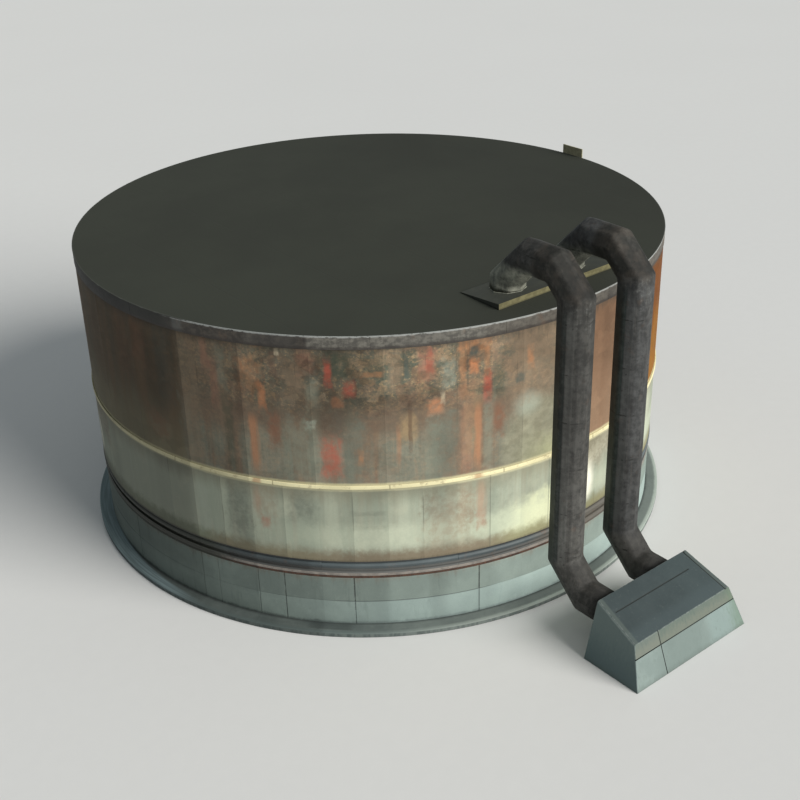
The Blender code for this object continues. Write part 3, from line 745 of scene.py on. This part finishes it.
def skirt_steel():
    f = Finish("skirt_steel", 0.45)
    mottle = f.noise(0.15, 5, 0.65)
    grain = f.noise(0.012, 3, 0.7)
    f.start(f.noise(1, 4, shift=6).rise(0.35, 0.65), (68, 87, 94), (98, 121, 127))
    f.lay(f.z.band(1.4, 1.425, 0.012) * 0.5, (35, 40, 42))
    f.lay((f.z + mottle.sway(0.04)).fall(1.32, 1.36) * 0.6, (130, 120, 108))
    f.lay(f.az.band(-9, 20, 2) * (0.5 + 0.35 * f.az.band(0.5, 16, 0.5)), (110, 100, 82))
    rust = f.noise(0.22, 5, shift=8, squash=0.6).rise(0.6, 0.74)
    f.lay(rust * 0.55, (150, 85, 50))
    # Painted shadow: the lip under the shell is near black.
    f.lay(f.z.rise(1.472, 1.482) * 0.75, (18, 16, 15))
    # Dark olive on the -X side: painted shade.
    left = (f.az + mottle.sway(5)).fall(-71, -62) * f.ahead
    f.lay(left * 0.9, (36, 40, 26))
    # Painted shade on a few plates.
    painted_shade = 0.3 * f.az.band(-66, -50, 0.8) + 0.18 * f.az.band(-22, -10, 2)
    f.shade(f.painted_side_shade(0.4, -84, -36) * (1.05 - painted_shade) * (0.85 + 0.3 * grain))
    return f.finish(0.42 + 0.35 * mottle, grain * 0.4 + mottle * 0.4 + rust * 0.3, 0.002)


def strip_paint(name, dark, light, rusty, share, roughness):
    """Weathered paint or bitumen on a thin strip."""
    f = Finish(name, 0.35)
    mottle = f.noise(0.12, 5, 0.65)
    streak = f.streaks(0.06, 0.2)
    grain = f.noise(0.01, 3, 0.7)
    f.start(mottle.rise(0.36, 0.64), dark, light)
    f.lay(streak.rise(0.66 - share, 0.8 - share) * 0.7, rusty)
    # Dark olive on the -X side: painted shade.
    left = (f.az + streak.sway(5)).fall(-70, -62) * f.ahead
    f.lay(left * 0.94, (30, 34, 26))
    f.lay(f.az.band(0.5, 16, 0.5) * 0.75, (105, 98, 84))
    f.shade((0.85 + 0.3 * grain) * f.painted_side_shade(0.7, -74, -50))
    return f.finish(roughness + 0.2 * mottle, grain * 0.5 + mottle * 0.5, 0.003)


def pad_paint():
    f = Finish("pad_paint", 0.3)
    mottle = f.noise(0.16, 5, 0.65)
    grain = f.noise(0.012, 3, 0.7)
    f.start(mottle.rise(0.4, 0.7), (44, 48, 40), (56, 60, 48))
    khaki = f.mix(mottle.rise(0.38, 0.64), (112, 102, 50), (175, 160, 82))
    khaki = f.mix(f.z.fall(6.045, 6.065) * 0.6, khaki, (60, 56, 30))
    f.lay((f.y + PAD_OUTER).fall(0.003, 0.014), khaki)
    # The pad's sides are roof-coloured, with a near-black painted contact shadow along their foot.
    sides = abs(f.x).rise(PAD_HALF - 0.01, PAD_HALF - 0.001)
    f.lay(sides * 0.8, f.mix(f.z.fall(6.04, 6.06), (40, 43, 34), (12, 12, 10)))
    f.shade(0.86 + 0.28 * grain)
    return f.finish(0.65 + 0.25 * mottle, grain * 0.5 + mottle * 0.5, 0.002)


def duct_steel(letter, tint, shift, head, foot, back, front, lit_side_facet, leg_painted_light, bend_tone):
    """Dark plate, mottled and dusty, with its own brightness at its head and its foot, and painted light and
    shade on its seen facets.
    """
    f = Finish(f"duct_steel_{letter}", 0.3)
    middle = sum(corner[0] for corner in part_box(f"duct_{letter}_riser")) / 2
    cloud = f.noise(0.4, 5, 0.62, shift)
    mottle = f.noise(0.1, 6, 0.7, shift + 3)
    grain = f.noise(0.012, 3, 0.7)
    streak = f.streaks(0.05, 0.7, 4, shift)
    spots = f.noise(0.06, 2, shift=shift + 9).rise(0.66, 0.74)
    blend = cloud * 0.6 + mottle * 0.4
    across, _, upward = f.parts("XYZ", f.given["Normal"])
    dark, light, front, lit_side_facet = (tuple(size * c for c in tint) for size in (36, 62, front, lit_side_facet))
    f.start(blend.rise(0.4, 0.62), dark, light)
    f.lay(streak.rise(0.52, 0.72) * 0.5, (72, 66, 56))
    # Painted light and shade by facet: a lighter colour on the facets that do not face -X, a dark one on the
    # -X facet next to the shell and a lighter one on the -X facet further out.
    f.lay(across.rise(-0.9, -0.4) * (0.4 + 0.6 * mottle.rise(0.38, 0.6)) * 0.5, front)
    side = across.fall(-0.9, -0.7) * f.z.fall(6, 6.4)
    inner = (f.y + RISER_DISTANCE).rise(-0.1, -0.06)
    f.lay(side * inner * 0.7, back)
    f.lay(side * (1 - inner) * f.z.rise(0.9, 1.3) * 0.85, lit_side_facet)
    rust = f.noise(0.2, 5, shift=shift + 5).rise(0.58, 0.74)
    f.lay(rust * 0.4, (80, 56, 42))
    # Painted light: the drop leg under the arch is made pale.
    leg = f.y.rise(-5.85, -5.7) * f.z.fall(6.55, 6.75)
    f.lay(leg * 0.85, f.tone(f.mix(blend.rise(0.36, 0.64), (120, 126, 104), (230, 235, 190)), leg_painted_light))
    over = (f.z + cloud.sway(0.3)).rise(6.3, 6.55) * f.y.fall(-5.9, -5.7)
    f.lay(over * 0.85, f.mix(cloud.rise(0.42, 0.6), (24, 24, 20), (46, 39, 31)))
    scuff = f.z.band(5.95, 6.45, 0.12) * f.y.fall(-6.75, -6.6) * (mottle + streak.sway(0.4)).rise(0.54, 0.66)
    f.lay(scuff * 0.35, (150, 158, 152))
    f.lay(f.z.fall(1.15, 1.35) * 0.6, f.tone((58, 56, 50), bend_tone))
    share = f.math("FRACT", f.z / 0.93 + shift * 0.37 + cloud.sway(0.1))
    f.lay(abs(share - 0.5).fall(0.01, 0.024) * mottle.rise(0.49, 0.56) * 0.7, (12, 12, 11))
    f.lay(spots * 0.6, (14, 13, 12))
    f.lay(f.edge_wear(mottle) * 0.12, (110, 106, 98))
    height = f.z.rise(2, 4.5)
    blotch = (cloud * 0.3 + mottle * 0.45 + streak * 0.25).rise(0.4, 0.6)
    # Blotches, with painted shade and light by facet: faces turned upwards are darker, and the facet turned a
    # little towards -X is lighter, but darker at its -X end.
    painted_top_shade = upward.rise(0.2, 0.6) * f.y.fall(-6.6, -6.3)
    outward = abs(across + 0.38).fall(0.15, 0.3) * f.z.band(1, 6.2, 0.2)
    worn = (0.76 + 0.46 * blotch) * (1 - 0.32 * painted_top_shade)
    worn *= 1 + outward * (0.1 - 0.36 * (f.x - middle).fall(-0.19, -0.15))
    f.shade(worn * (0.82 + 0.36 * grain) * (head * height + foot * (1 - height)))
    return f.finish(0.55 + 0.3 * mottle, grain * 0.4 + mottle * 0.6 - spots * 0.2, 0.002)


def plate_paint():
    f = Finish("plate_paint", 0.35)
    mottle = f.noise(0.08, 5, 0.65)
    grain = f.noise(0.01, 3, 0.7)
    f.start(mottle.rise(0.36, 0.64), (260, 245, 160), (360, 335, 215))
    f.lay(f.streaks(0.03, 0.2).rise(0.58, 0.74) * 0.5, (110, 85, 45))
    f.lay(f.edge_wear(mottle) * 0.8, (380, 350, 210))
    f.shade(0.82 + 0.36 * grain)
    return f.finish(0.6 + 0.25 * mottle, grain * 0.5 + mottle * 0.5, 0.002)


def floor_finish():
    f = Finish("studio_floor", 0.1)
    cloud = f.noise(9)
    grain = f.noise(0.3)
    f.start(cloud, (700, 705, 700), (720, 725, 720))
    f.shade(0.985 + 0.03 * grain)
    return f.finish(0.9 + 0.05 * cloud, grain, 0.001)


# Shapes


def rounded(points, radius, steps=3):
    """A closed outline with each corner rounded off."""
    outline = []
    for index, corner in enumerate(points):
        here = Vector(corner)
        before = Vector(points[index - 1]) - here
        after = Vector(points[(index + 1) % len(points)]) - here
        reach = min(radius, before.length * 0.45, after.length * 0.45)
        start = here + before.normalized() * reach
        end = here + after.normalized() * reach
        for step in range(steps + 1):
            share = step / steps
            outline.append(start.lerp(here, share).lerp(here.lerp(end, share), share)[:])
    return outline


def bar(inner, outer, bottom, top, radius, steps=3):
    """The outline of a flat bar with rounded edges."""
    return rounded([(inner, top), (outer, top), (outer, bottom), (inner, bottom)], radius, steps)


def skin(shape, rows, closed=True, joined=False):
    """Faces between neighbouring rows of corners. Rows may be closed, and the last joined to the first."""
    made = []
    for first, second in zip(rows, rows[1:] + rows[:joined]):
        for index in range(len(first) - (not closed)):
            after = (index + 1) % len(first)
            corners = dict.fromkeys((first[index], second[index], second[after], first[after]))
            if len(corners) > 2:
                made.append(shape.faces.new(list(corners)))
    return made


def capped(shape, rows):
    """A skin with its two ends closed."""
    skin(shape, rows)
    shape.faces.new(rows[0])
    shape.faces.new(rows[-1])
    bmesh.ops.recalc_face_normals(shape, faces=shape.faces)


def linked(name, shape):
    """A new object with the mesh of a shape."""
    mesh = bpy.data.meshes.new(name)
    shape.to_mesh(mesh)
    shape.free()
    made = bpy.data.objects.new(name, mesh)
    bpy.context.scene.collection.objects.link(made)
    return made


def show(name, shape, finish, nodes, flats=False):
    """Turns a shape into a piece of the tank that stands for some CAD nodes."""
    bmesh.ops.recalc_face_normals(shape, faces=shape.faces)
    piece = linked(name, shape)
    piece.data.materials.append(finish)
    piece.data.shade_smooth()
    if flats:
        flatten_shading(piece.data)
    else:
        piece.data.set_sharp_from_angle(angle=SMOOTH_ANGLE)
    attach(piece, "root")
    if nodes:
        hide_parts(*nodes)
    return piece


def around(azimuth, distance, height):
    turn = math.radians(azimuth)
    return Vector((distance * math.sin(turn), -distance * math.cos(turn), height))


def uneven(place, often, size):
    """A smooth, steady noise of up to size metres, with about as many bumps a metre as often says."""
    return size * noise.noise(place * often)


def full_turn(joints=(), half=0.0):
    """Azimuths of a whole turn, with some more of them to either side of each joint."""
    extra = [joint + share * half for joint in joints for share in JOINT_SHARES]
    turns = {round(-180 + 360 * step / ROUND_STEPS, 4) for step in range(ROUND_STEPS)}
    return sorted(turns | {round((value + 180) % 360 - 180, 4) for value in extra})


def turned(outline, turns, closed=True, ends=False, push=None):
    """Turns an outline of (distance, height) about the axis, through the given azimuths.

    With push, each point is moved outwards by push(azimuth, distance, height).
    """
    shape = bmesh.new()
    rows = []
    for azimuth in turns:
        row = []
        for distance, height in outline:
            if distance == 0 and rows:
                row.append(rows[0][len(row)])
                continue
            extra = push(azimuth, distance, height) if push else 0.0
            row.append(shape.verts.new(around(azimuth, distance + extra, height)))
        rows.append(row)
    skin(shape, rows, closed, not ends)
    if ends:
        shape.faces.new(rows[0])
        shape.faces.new(rows[-1])
    return shape


def near_joint(azimuth, joints):
    return min(abs((azimuth - joint + 180) % 360 - 180) for joint in joints)


def cut_profile(off, half, depth):
    """Depth of a joint at some distance from its middle line."""
    return depth * max(0.0, min(1.0, (half - off) / (half * 0.5)))


def build_footing(finish):
    middle, rounding, bumps, wear = 5.0, 0.014, 1.3, 0.006
    edge = rounded([
        (middle, FOOTING_TOP), (PLINTH_RADIUS, FOOTING_TOP), (FOOTING_RADIUS, FOOTING_EDGE),
        (FOOTING_RADIUS, 0.0), (middle, 0.0),
    ], rounding)
    outline = [(0.0, FOOTING_TOP), *edge[4:16], (0.0, 0.0)]

    def worn(azimuth, distance, height):
        if distance < PLINTH_RADIUS + 0.05 or height < 0.001:
            return 0.0
        return -abs(uneven(around(azimuth, distance, height), bumps, wear))

    shape = turned(outline, full_turn(), closed=False, push=worn)
    show("footing_ledge", shape, finish, ["footing"])


def build_plinth(finish):
    joints, half, depth = panel_azimuths(), 0.12, 0.008
    level_half, level_depth = 0.010, 0.005
    edge, arris, inner, bumps, wave = 0.012, 0.0035, PLINTH_RADIUS - 0.3, 1.1, 0.003
    bottom = FOOTING_TOP + GAP
    heights = [PLINTH_TOP - edge, PLINTH_TOP - 0.03, 1.0, 0.85]
    heights += [PANEL_LEVEL - share * level_half for share in JOINT_SHARES]
    heights += [0.5, 0.35, 0.2, bottom]
    outline = [(inner, PLINTH_TOP), (PLINTH_RADIUS - edge, PLINTH_TOP)]
    outline.append((PLINTH_RADIUS - arris, PLINTH_TOP - arris))
    outline += [(PLINTH_RADIUS, height) for height in heights] + [(inner, bottom)]

    def joint_depth(azimuth, distance, height):
        if distance < inner + 0.2:
            return 0.0
        upright = cut_profile(near_joint(azimuth, joints), half, depth)
        flat = cut_profile(abs(height - PANEL_LEVEL), level_half, level_depth)
        return uneven(around(azimuth, distance, height), bumps, wave) - wave - max(upright, flat)

    shape = turned(outline, full_turn(joints, half), push=joint_depth)
    show("plinth_panels", shape, finish, ["plinth"])


def build_base_strips(bedding, bottom):
    inner, bumps, wear, rounding = BEDDING_RADIUS - 0.12, 5.0, 0.008, 0.010

    def ragged(azimuth, distance, height):
        if distance < inner + 0.05:
            return 0.0
        return -abs(uneven(around(azimuth, distance, height), bumps, wear))

    outline = bar(inner, BEDDING_RADIUS, PLINTH_TOP + GAP, BEDDING_TOP, 0.008)
    show("bedding_edge", turned(outline, full_turn(), push=ragged), bedding, ["bedding_layer"])
    outline = bar(TANK_RADIUS - 0.13, TANK_RADIUS, BEDDING_TOP + GAP, BOTTOM_TOP, rounding)
    show("bottom_edge", turned(outline, full_turn()), bottom, ["bottom_plate"])


def build_skirt(finish):
    foot, top, arris = BOTTOM_TOP + GAP, SHELL_BOTTOM - GAP, 0.004
    joints, half, depth = range(0, 360, PLATE_TURN * 2), 0.10, 0.006
    outline = [(SKIRT_INNER, foot), (SKIRT_INNER, top)]
    outline += [(SKIRT_OUTER - arris, top), (SKIRT_OUTER, top - arris)]
    outline += [(SKIRT_OUTER, top - SKIRT_LIP + arris), (SKIRT_OUTER - arris, top - SKIRT_LIP)]
    for step in range(ARC_STEPS + 1):
        turn = math.pi * step / ARC_STEPS
        height = HALF_ROUND_HEIGHT + HALF_ROUND_RADIUS * math.cos(turn)
        outline.append((SKIRT_RECESS + HALF_ROUND_RADIUS * math.sin(turn), height))
    outline += [(SKIRT_RECESS, foot + SKIRT_LIP), (SKIRT_OUTER - arris, foot + SKIRT_LIP)]
    outline += [(SKIRT_OUTER, foot + SKIRT_LIP - arris), (SKIRT_OUTER, foot)]

    def butt(azimuth, distance, height):
        outside = distance > SKIRT_RECESS + 0.002
        return -cut_profile(near_joint(azimuth, joints), half, depth) if outside else 0.0

    shape = turned(outline, full_turn(joints, half), push=butt)
    show("skirt_moulding", shape, finish, ["skirt_ring"])


def build_course(course, first, seams, bottom, top, wall, bead_height, finish):
    """Ten curved plates of one course, each a little dented and with weld beads along its joints."""
    half, large, small = 0.13, 0.0022, 0.0010
    levels = [top - (top - bottom) * step / COURSE_STEPS for step in range(COURSE_STEPS + 1)]
    outline = [(TANK_RADIUS, level) for level in levels]
    outline += [(TANK_RADIUS - wall, bottom), (TANK_RADIUS - wall, top)]
    rows = [lap + share * half for lap in (-360, 0, 360) for share in (-1, -0.6, 0, 0.6, 1)]
    beads = [seam + row for seam in seams for row in rows]

    def weathered(azimuth, distance, height):
        if distance < TANK_RADIUS - wall / 2:
            return 0.0
        place = around(azimuth, distance, height)
        dent = uneven(place, 0.8, large) - 0.6 * large + uneven(place, 2.3, small)
        return dent + bead_height * max(0.0, 1.0 - (near_joint(azimuth, seams) / half) ** 2)

    for index in range(PLATES):
        start = first + index * PLATE_SPAN
        turns = {round(start + PLATE_SPAN * step / PLATE_STEPS, 4) for step in range(PLATE_STEPS + 1)}
        turns |= {round(value, 4) for value in beads if start < value < start + PLATE_SPAN}
        shape = turned(outline, sorted(turns), ends=True, push=weathered)
        node = f"shell_{course}_{index + 1:02d}"
        show(f"{node}_skin", shape, finish, [node])


def build_ring(name, outline, turn, offset, finish, node, depth):
    joints = [offset + turn * index for index in range(round(360 / turn))]

    def butt(azimuth, distance, height):
        if distance < TANK_RADIUS + 0.004:
            return 0.0
        cut = min(depth, distance - TANK_RADIUS - 0.002)
        return -cut_profile(near_joint(azimuth, joints), RING_JOINT_HALF, cut)

    show(name, turned(outline, full_turn(joints, RING_JOINT_HALF), push=butt), finish, [node])


def build_rings(stiffener, curb):
    inner = TANK_RADIUS + GAP
    low, high = COURSE_JOINT - STIFFENER_HALF, COURSE_JOINT + STIFFENER_HALF
    outline = bar(inner, inner + STIFFENER_THICKNESS, low, high, 0.018, steps=5)
    build_ring(
        "stiffener_band", outline, RING_TURN, RING_START, stiffener, "stiffener_ring", 0.006
    )
    outline = bar(inner, inner + CURB_THICKNESS, CURB_BOTTOM, RIM_HEIGHT - ROOF_PLATE - GAP, 0.004)
    build_ring("curb_band", outline, CURB_TURN, CURB_START, curb, "curb_ring", 0.004)


def build_roof(finish):
    under, seat, lip, lip_lift = RIM_HEIGHT - ROOF_PLATE, 5.95, 5.985, 0.0003

    def roof_height(distance):
        return RIM_HEIGHT + (TANK_RADIUS - distance) * ROOF_SLOPE

    distances = [TANK_RADIUS * step / ROOF_STEPS for step in range(ROOF_STEPS)] + [5.9, lip]
    corners = [(lip, RIM_HEIGHT + lip_lift), (ROOF_EDGE, RIM_HEIGHT), (ROOF_EDGE, under), (seat, under)]
    edge = rounded(corners, 0.005)
    outline = [(distance, roof_height(distance)) for distance in distances]
    outline += [*edge[4:12], (seat, under), (0.0, roof_height(0.0) - ROOF_PLATE)]
    show("roof_deck", turned(outline, full_turn(), closed=False), finish, ["roof"])


def joined_faces(node):
    """A CAD node's own shape with its triangles joined up into flat faces."""
    shape = bmesh.new()
    shape.from_mesh(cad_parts[node].data)
    bmesh.ops.remove_doubles(shape, verts=shape.verts, dist=1e-5)
    bmesh.ops.dissolve_limit(shape, angle_limit=FLAT_ANGLE, verts=shape.verts, edges=shape.edges)
    return shape


def round_edges(shape, edges, radius, segments):
    """Rounds edges off and marks the rounded faces, which is where paint wears."""
    layer = shape.faces.layers.float.new("edge")
    made = bmesh.ops.bevel(
        shape, geom=edges, offset=radius, segments=segments, affect="EDGES", profile=0.6, clamp_overlap=True
    )
    for face in made["faces"]:
        face[layer] = 1.0


def node_shape(node, bevel):
    """A CAD node's own shape with its edges rounded off."""
    shape = joined_faces(node)
    edges = [edge for edge in shape.edges if edge.calc_face_angle(0) > EDGE_ANGLE]
    round_edges(shape, edges, bevel, 3)
    return shape


def flatten_shading(mesh):
    """Keeps large flat faces flat and lets the rounded edges between them take the change of shading."""
    normals = [Vector() for _ in mesh.vertices]
    for face in mesh.polygons:
        for index in face.vertices:
            normals[index] += face.normal * face.area
    mesh.normals_split_custom_set_from_vertices([normal.normalized() for normal in normals])


def centre(corners):
    return sum(corners, Vector()) / len(corners)


def duct_rings(letter):
    """The rings of corners where a duct's pieces meet, from its foot on the roof pad to the block."""
    rings = []
    for piece in DUCT_PIECES:
        shape = joined_faces(f"duct_{letter}_{piece}")
        caps = sorted(shape.faces, key=lambda face: -len(face.verts))[:2]
        if rings:
            last = centre(rings[-1])
            start = min(caps, key=lambda cap: (cap.calc_center_median() - last).length)
            corners = [min(start.verts, key=lambda vert: (vert.co - place).length) for place in rings[-1]]
        else:
            start = min(caps, key=lambda cap: cap.calc_center_median().z)
            corners = list(start.verts)
            rings.append([corner.co.copy() for corner in corners])
        ring = []
        for corner in corners:
            ahead = [edge.other_vert(corner) for edge in corner.link_edges]
            ring.append(next(vert.co.copy() for vert in ahead if vert not in corners))
        rings.append(ring)
        shape.free()
    return rings


def bead_round(shape, corners, radius, seed):
    """A weld bead swept along a closed loop of corners."""
    middle = centre(corners)
    normal = (corners[0] - middle).cross(corners[2] - middle).normalized()
    rows = []
    for index, corner in enumerate(corners):
        after = corners[(index + 1) % len(corners)]
        steps = max(1, round((after - corner).length / BEAD_STEP))
        for step in range(steps):
            place = corner.lerp(after, step / steps)
            outward = (place - middle).normalized()
            size = radius * (1.0 + 0.25 * noise.noise(place * 23.0 + Vector((seed, 0.0, 0.0))))
            turns = [math.tau * side / BEAD_SIDES for side in range(BEAD_SIDES)]
            rows.append([shape.verts.new(place + size * (math.cos(turn) * outward + math.sin(turn) * normal))
                         for turn in turns])
    skin(shape, rows, joined=True)


def build_duct(letter, finish):
    rings = duct_rings(letter)
    shape = bmesh.new()
    rows = [[shape.verts.new(place) for place in ring] for ring in rings]
    capped(shape, rows)
    ends = set(rows[0]) | set(rows[-1])
    round_edges(shape, [edge for edge in shape.edges if not set(edge.verts) <= ends], DUCT_ROUNDING, 4)
    nodes = [f"duct_{letter}_{piece}" for piece in DUCT_PIECES]
    casing = show(f"duct_{letter}_casing", shape, finish, nodes, flats=True)
    casing.visible_shadow = False
    beads = bmesh.new()
    middle = centre(rings[0])
    bead_round(beads, [corner.lerp(middle, 0.02) for corner in rings[0]], 0.012, 9)
    show(f"duct_{letter}_foot_weld", beads, finish, [])


def joint_cutter(start, end, size):
    """A square bar laid corner down along a line, which cuts a V-shaped joint."""
    shape = bmesh.new()
    start, end = Vector(start), Vector(end)
    along = (end - start).normalized()
    side = along.orthogonal().normalized()
    corners = [size * offset for offset in (side, along.cross(side), -side, -along.cross(side))]
    capped(shape, [[shape.verts.new(place + corner) for corner in corners]
                   for place in (start - along * 0.02, end + along * 0.02)])
    layer = shape.faces.layers.float.new("groove")
    for face in shape.faces:
        face[layer] = 1.0
    return linked("joint_cutter", shape)


def on_top(across, distance):
    """A point on the block's sloping top."""
    return (across, -distance, BLOCK_INNER_HEIGHT - (distance - BLOCK_INNER) * BLOCK_FALL)


def on_front(across, height):
    """A point on the block's battered front."""
    lean = (BLOCK_FOOT_OUTER - BLOCK_TOP_OUTER) / BLOCK_OUTER_HEIGHT
    return (across, -BLOCK_FOOT_OUTER + lean * height, height)


def build_block(finish):
    cast = node_shape("outlet_block", 0.012)
    block = show("outlet_block_cast", cast, finish, ["outlet_block"])
    lines = (
        (on_top(-1.07, BLOCK_TOP_JOINT), on_top(0.87, BLOCK_TOP_JOINT)),
        (on_top(1.10, BLOCK_INNER), on_top(1.18, BLOCK_TOP_OUTER)),
        (on_front(-1.5, BLOCK_JOINT_LEVEL), on_front(1.5, BLOCK_JOINT_LEVEL)),
        (on_front(BLOCK_FRONT_JOINT, 0.0), on_front(BLOCK_FRONT_JOINT, BLOCK_OUTER_HEIGHT)),
    )
    for start, end in lines:
        cutter = joint_cutter(start, end, 0.015)
        cut = block.modifiers.new("joint", "BOOLEAN")
        cut.operation = "DIFFERENCE"
        cut.solver = "EXACT"
        cut.object = cutter
        bpy.context.view_layer.update()
        evaluated = block.evaluated_get(bpy.context.evaluated_depsgraph_get())
        mesh = bpy.data.meshes.new_from_object(evaluated)
        block.modifiers.clear()
        block.data = mesh
        bpy.data.objects.remove(cutter, do_unlink=True)
    flatten_shading(block.data)


def build_rim_plate(finish):
    """The small plate at the rim, cut fine enough for its top edge to be a little uneven."""
    low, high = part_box("rim_plate")
    columns, rows = 14, 8
    shape = bmesh.new()
    layer = shape.faces.layers.float.new("edge")
    borders = []
    for distance, outer in ((low[0], False), (high[0], True)):
        grid = []
        for row in range(rows + 1):
            line = []
            for column in range(columns + 1):
                y = low[1] + (high[1] - low[1]) * column / columns
                z = low[2] + (high[2] - low[2]) * row / rows
                if row == rows:
                    z -= 0.012 * abs(noise.noise(Vector((y * 9.0, 0.0, 3.0))))
                bow = min(0.0, 0.002 * noise.noise(Vector((y * 3.0, z * 3.0, 1.0)))) - 0.001 if outer else 0.0
                line.append(shape.verts.new((distance + bow, y, z)))
            grid.append(line)
        skin(shape, grid, closed=False)
        left, right = [line[0] for line in grid[1:-1]], [line[-1] for line in grid[1:-1]]
        borders.append([*grid[0], *right, *reversed(grid[-1]), *reversed(left)])
    for face in skin(shape, borders):
        face[layer] = 1.0
    show("rim_plate_sheet", shape, finish, ["rim_plate"])


def build_floor():
    shape = bmesh.new()
    bmesh.ops.create_circle(shape, cap_ends=True, segments=FLOOR_STEPS, radius=FLOOR_RADIUS)
    floor = linked("studio_floor", shape)
    floor.location.z = -FLOOR_DROP
    floor.data.materials.append(floor_finish())


def build_light():
    scene = bpy.context.scene
    scene.view_settings.view_transform = "Standard"
    world = bpy.data.worlds.new("studio")
    world.use_nodes = True
    sky = world.node_tree.nodes["Background"].inputs
    sky["Color"].default_value = (*SKY_COLOUR, 1.0)
    sky["Strength"].default_value = SKY_STRENGTH
    scene.world = world
    lamp = bpy.data.lights.new("key", "SUN")
    lamp.energy = KEY_STRENGTH
    lamp.angle = math.radians(KEY_SPREAD)
    lamp.color = KEY_COLOUR
    key = bpy.data.objects.new("key", lamp)
    lift = math.radians(KEY_ELEVATION)
    towards = around(KEY_AZIMUTH, math.cos(lift), math.sin(lift))
    key.rotation_euler = towards.to_track_quat("Z", "Y").to_euler()
    scene.collection.objects.link(key)


def build_camera():
    lens = bpy.data.cameras.new("camera")
    lens.lens = CAMERA_LENS
    lens.sensor_width = SENSOR
    lens.clip_end = 600.0
    camera = bpy.data.objects.new("camera", lens)
    tilt = math.radians(90.0 - CAMERA_PITCH)
    aim = Euler((tilt, 0.0, math.radians(-CAMERA_HEADING))).to_matrix()
    aim = aim @ Matrix.Rotation(math.radians(CAMERA_ROLL), 3, "Z")
    camera.matrix_world = Matrix.Translation(CAMERA_PLACE) @ aim.to_4x4()
    bpy.context.scene.collection.objects.link(camera)
    bpy.context.scene.camera = camera


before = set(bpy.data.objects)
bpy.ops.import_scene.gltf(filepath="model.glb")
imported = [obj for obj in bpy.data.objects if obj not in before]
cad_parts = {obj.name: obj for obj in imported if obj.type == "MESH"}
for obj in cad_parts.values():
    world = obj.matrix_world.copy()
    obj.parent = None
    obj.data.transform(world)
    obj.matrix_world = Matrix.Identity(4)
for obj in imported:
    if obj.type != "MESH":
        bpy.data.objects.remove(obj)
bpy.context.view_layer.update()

build_camera()
build_light()
build_floor()

build_footing(footing_concrete())
build_plinth(plinth_concrete())
build_base_strips(
    strip_paint("bedding_tar", (45, 26, 20), (85, 45, 30), (130, 60, 35), 0.10, 0.7),
    strip_paint("bottom_edge_paint", (170, 155, 140), (250, 225, 200), (150, 85, 55), 0.02, 0.55),
)
build_skirt(skirt_steel())
seams = range(0, 360, PLATE_TURN)
build_course(
    "lower", 18, [seam + PLATE_TURN / 2 for seam in seams],
    SHELL_BOTTOM, COURSE_JOINT - GAP, LOWER_WALL, 0.0016, lower_paint(),
)
build_course(
    "upper", 0, seams,
    COURSE_JOINT, RIM_HEIGHT - ROOF_PLATE - GAP, UPPER_WALL, 0.0010, upper_paint(),
)
build_rings(ring_paint(), curb_steel())
build_roof(roof_cover())
show("roof_pad_wedge", node_shape("roof_pad", 0.006), pad_paint(), ["roof_pad"], flats=True)
build_duct("a", duct_steel("a", (1, 0.99, 0.92), 0, 0.76, 1.26, (18, 25, 23), 50, 110, 1.75, 0.7))
build_duct("b", duct_steel("b", (0.97, 1, 1), 20, 0.92, 0.72, (24, 38, 35), 68, 104, 1, 1.95))
build_block(block_concrete())
build_rim_plate(plate_paint())
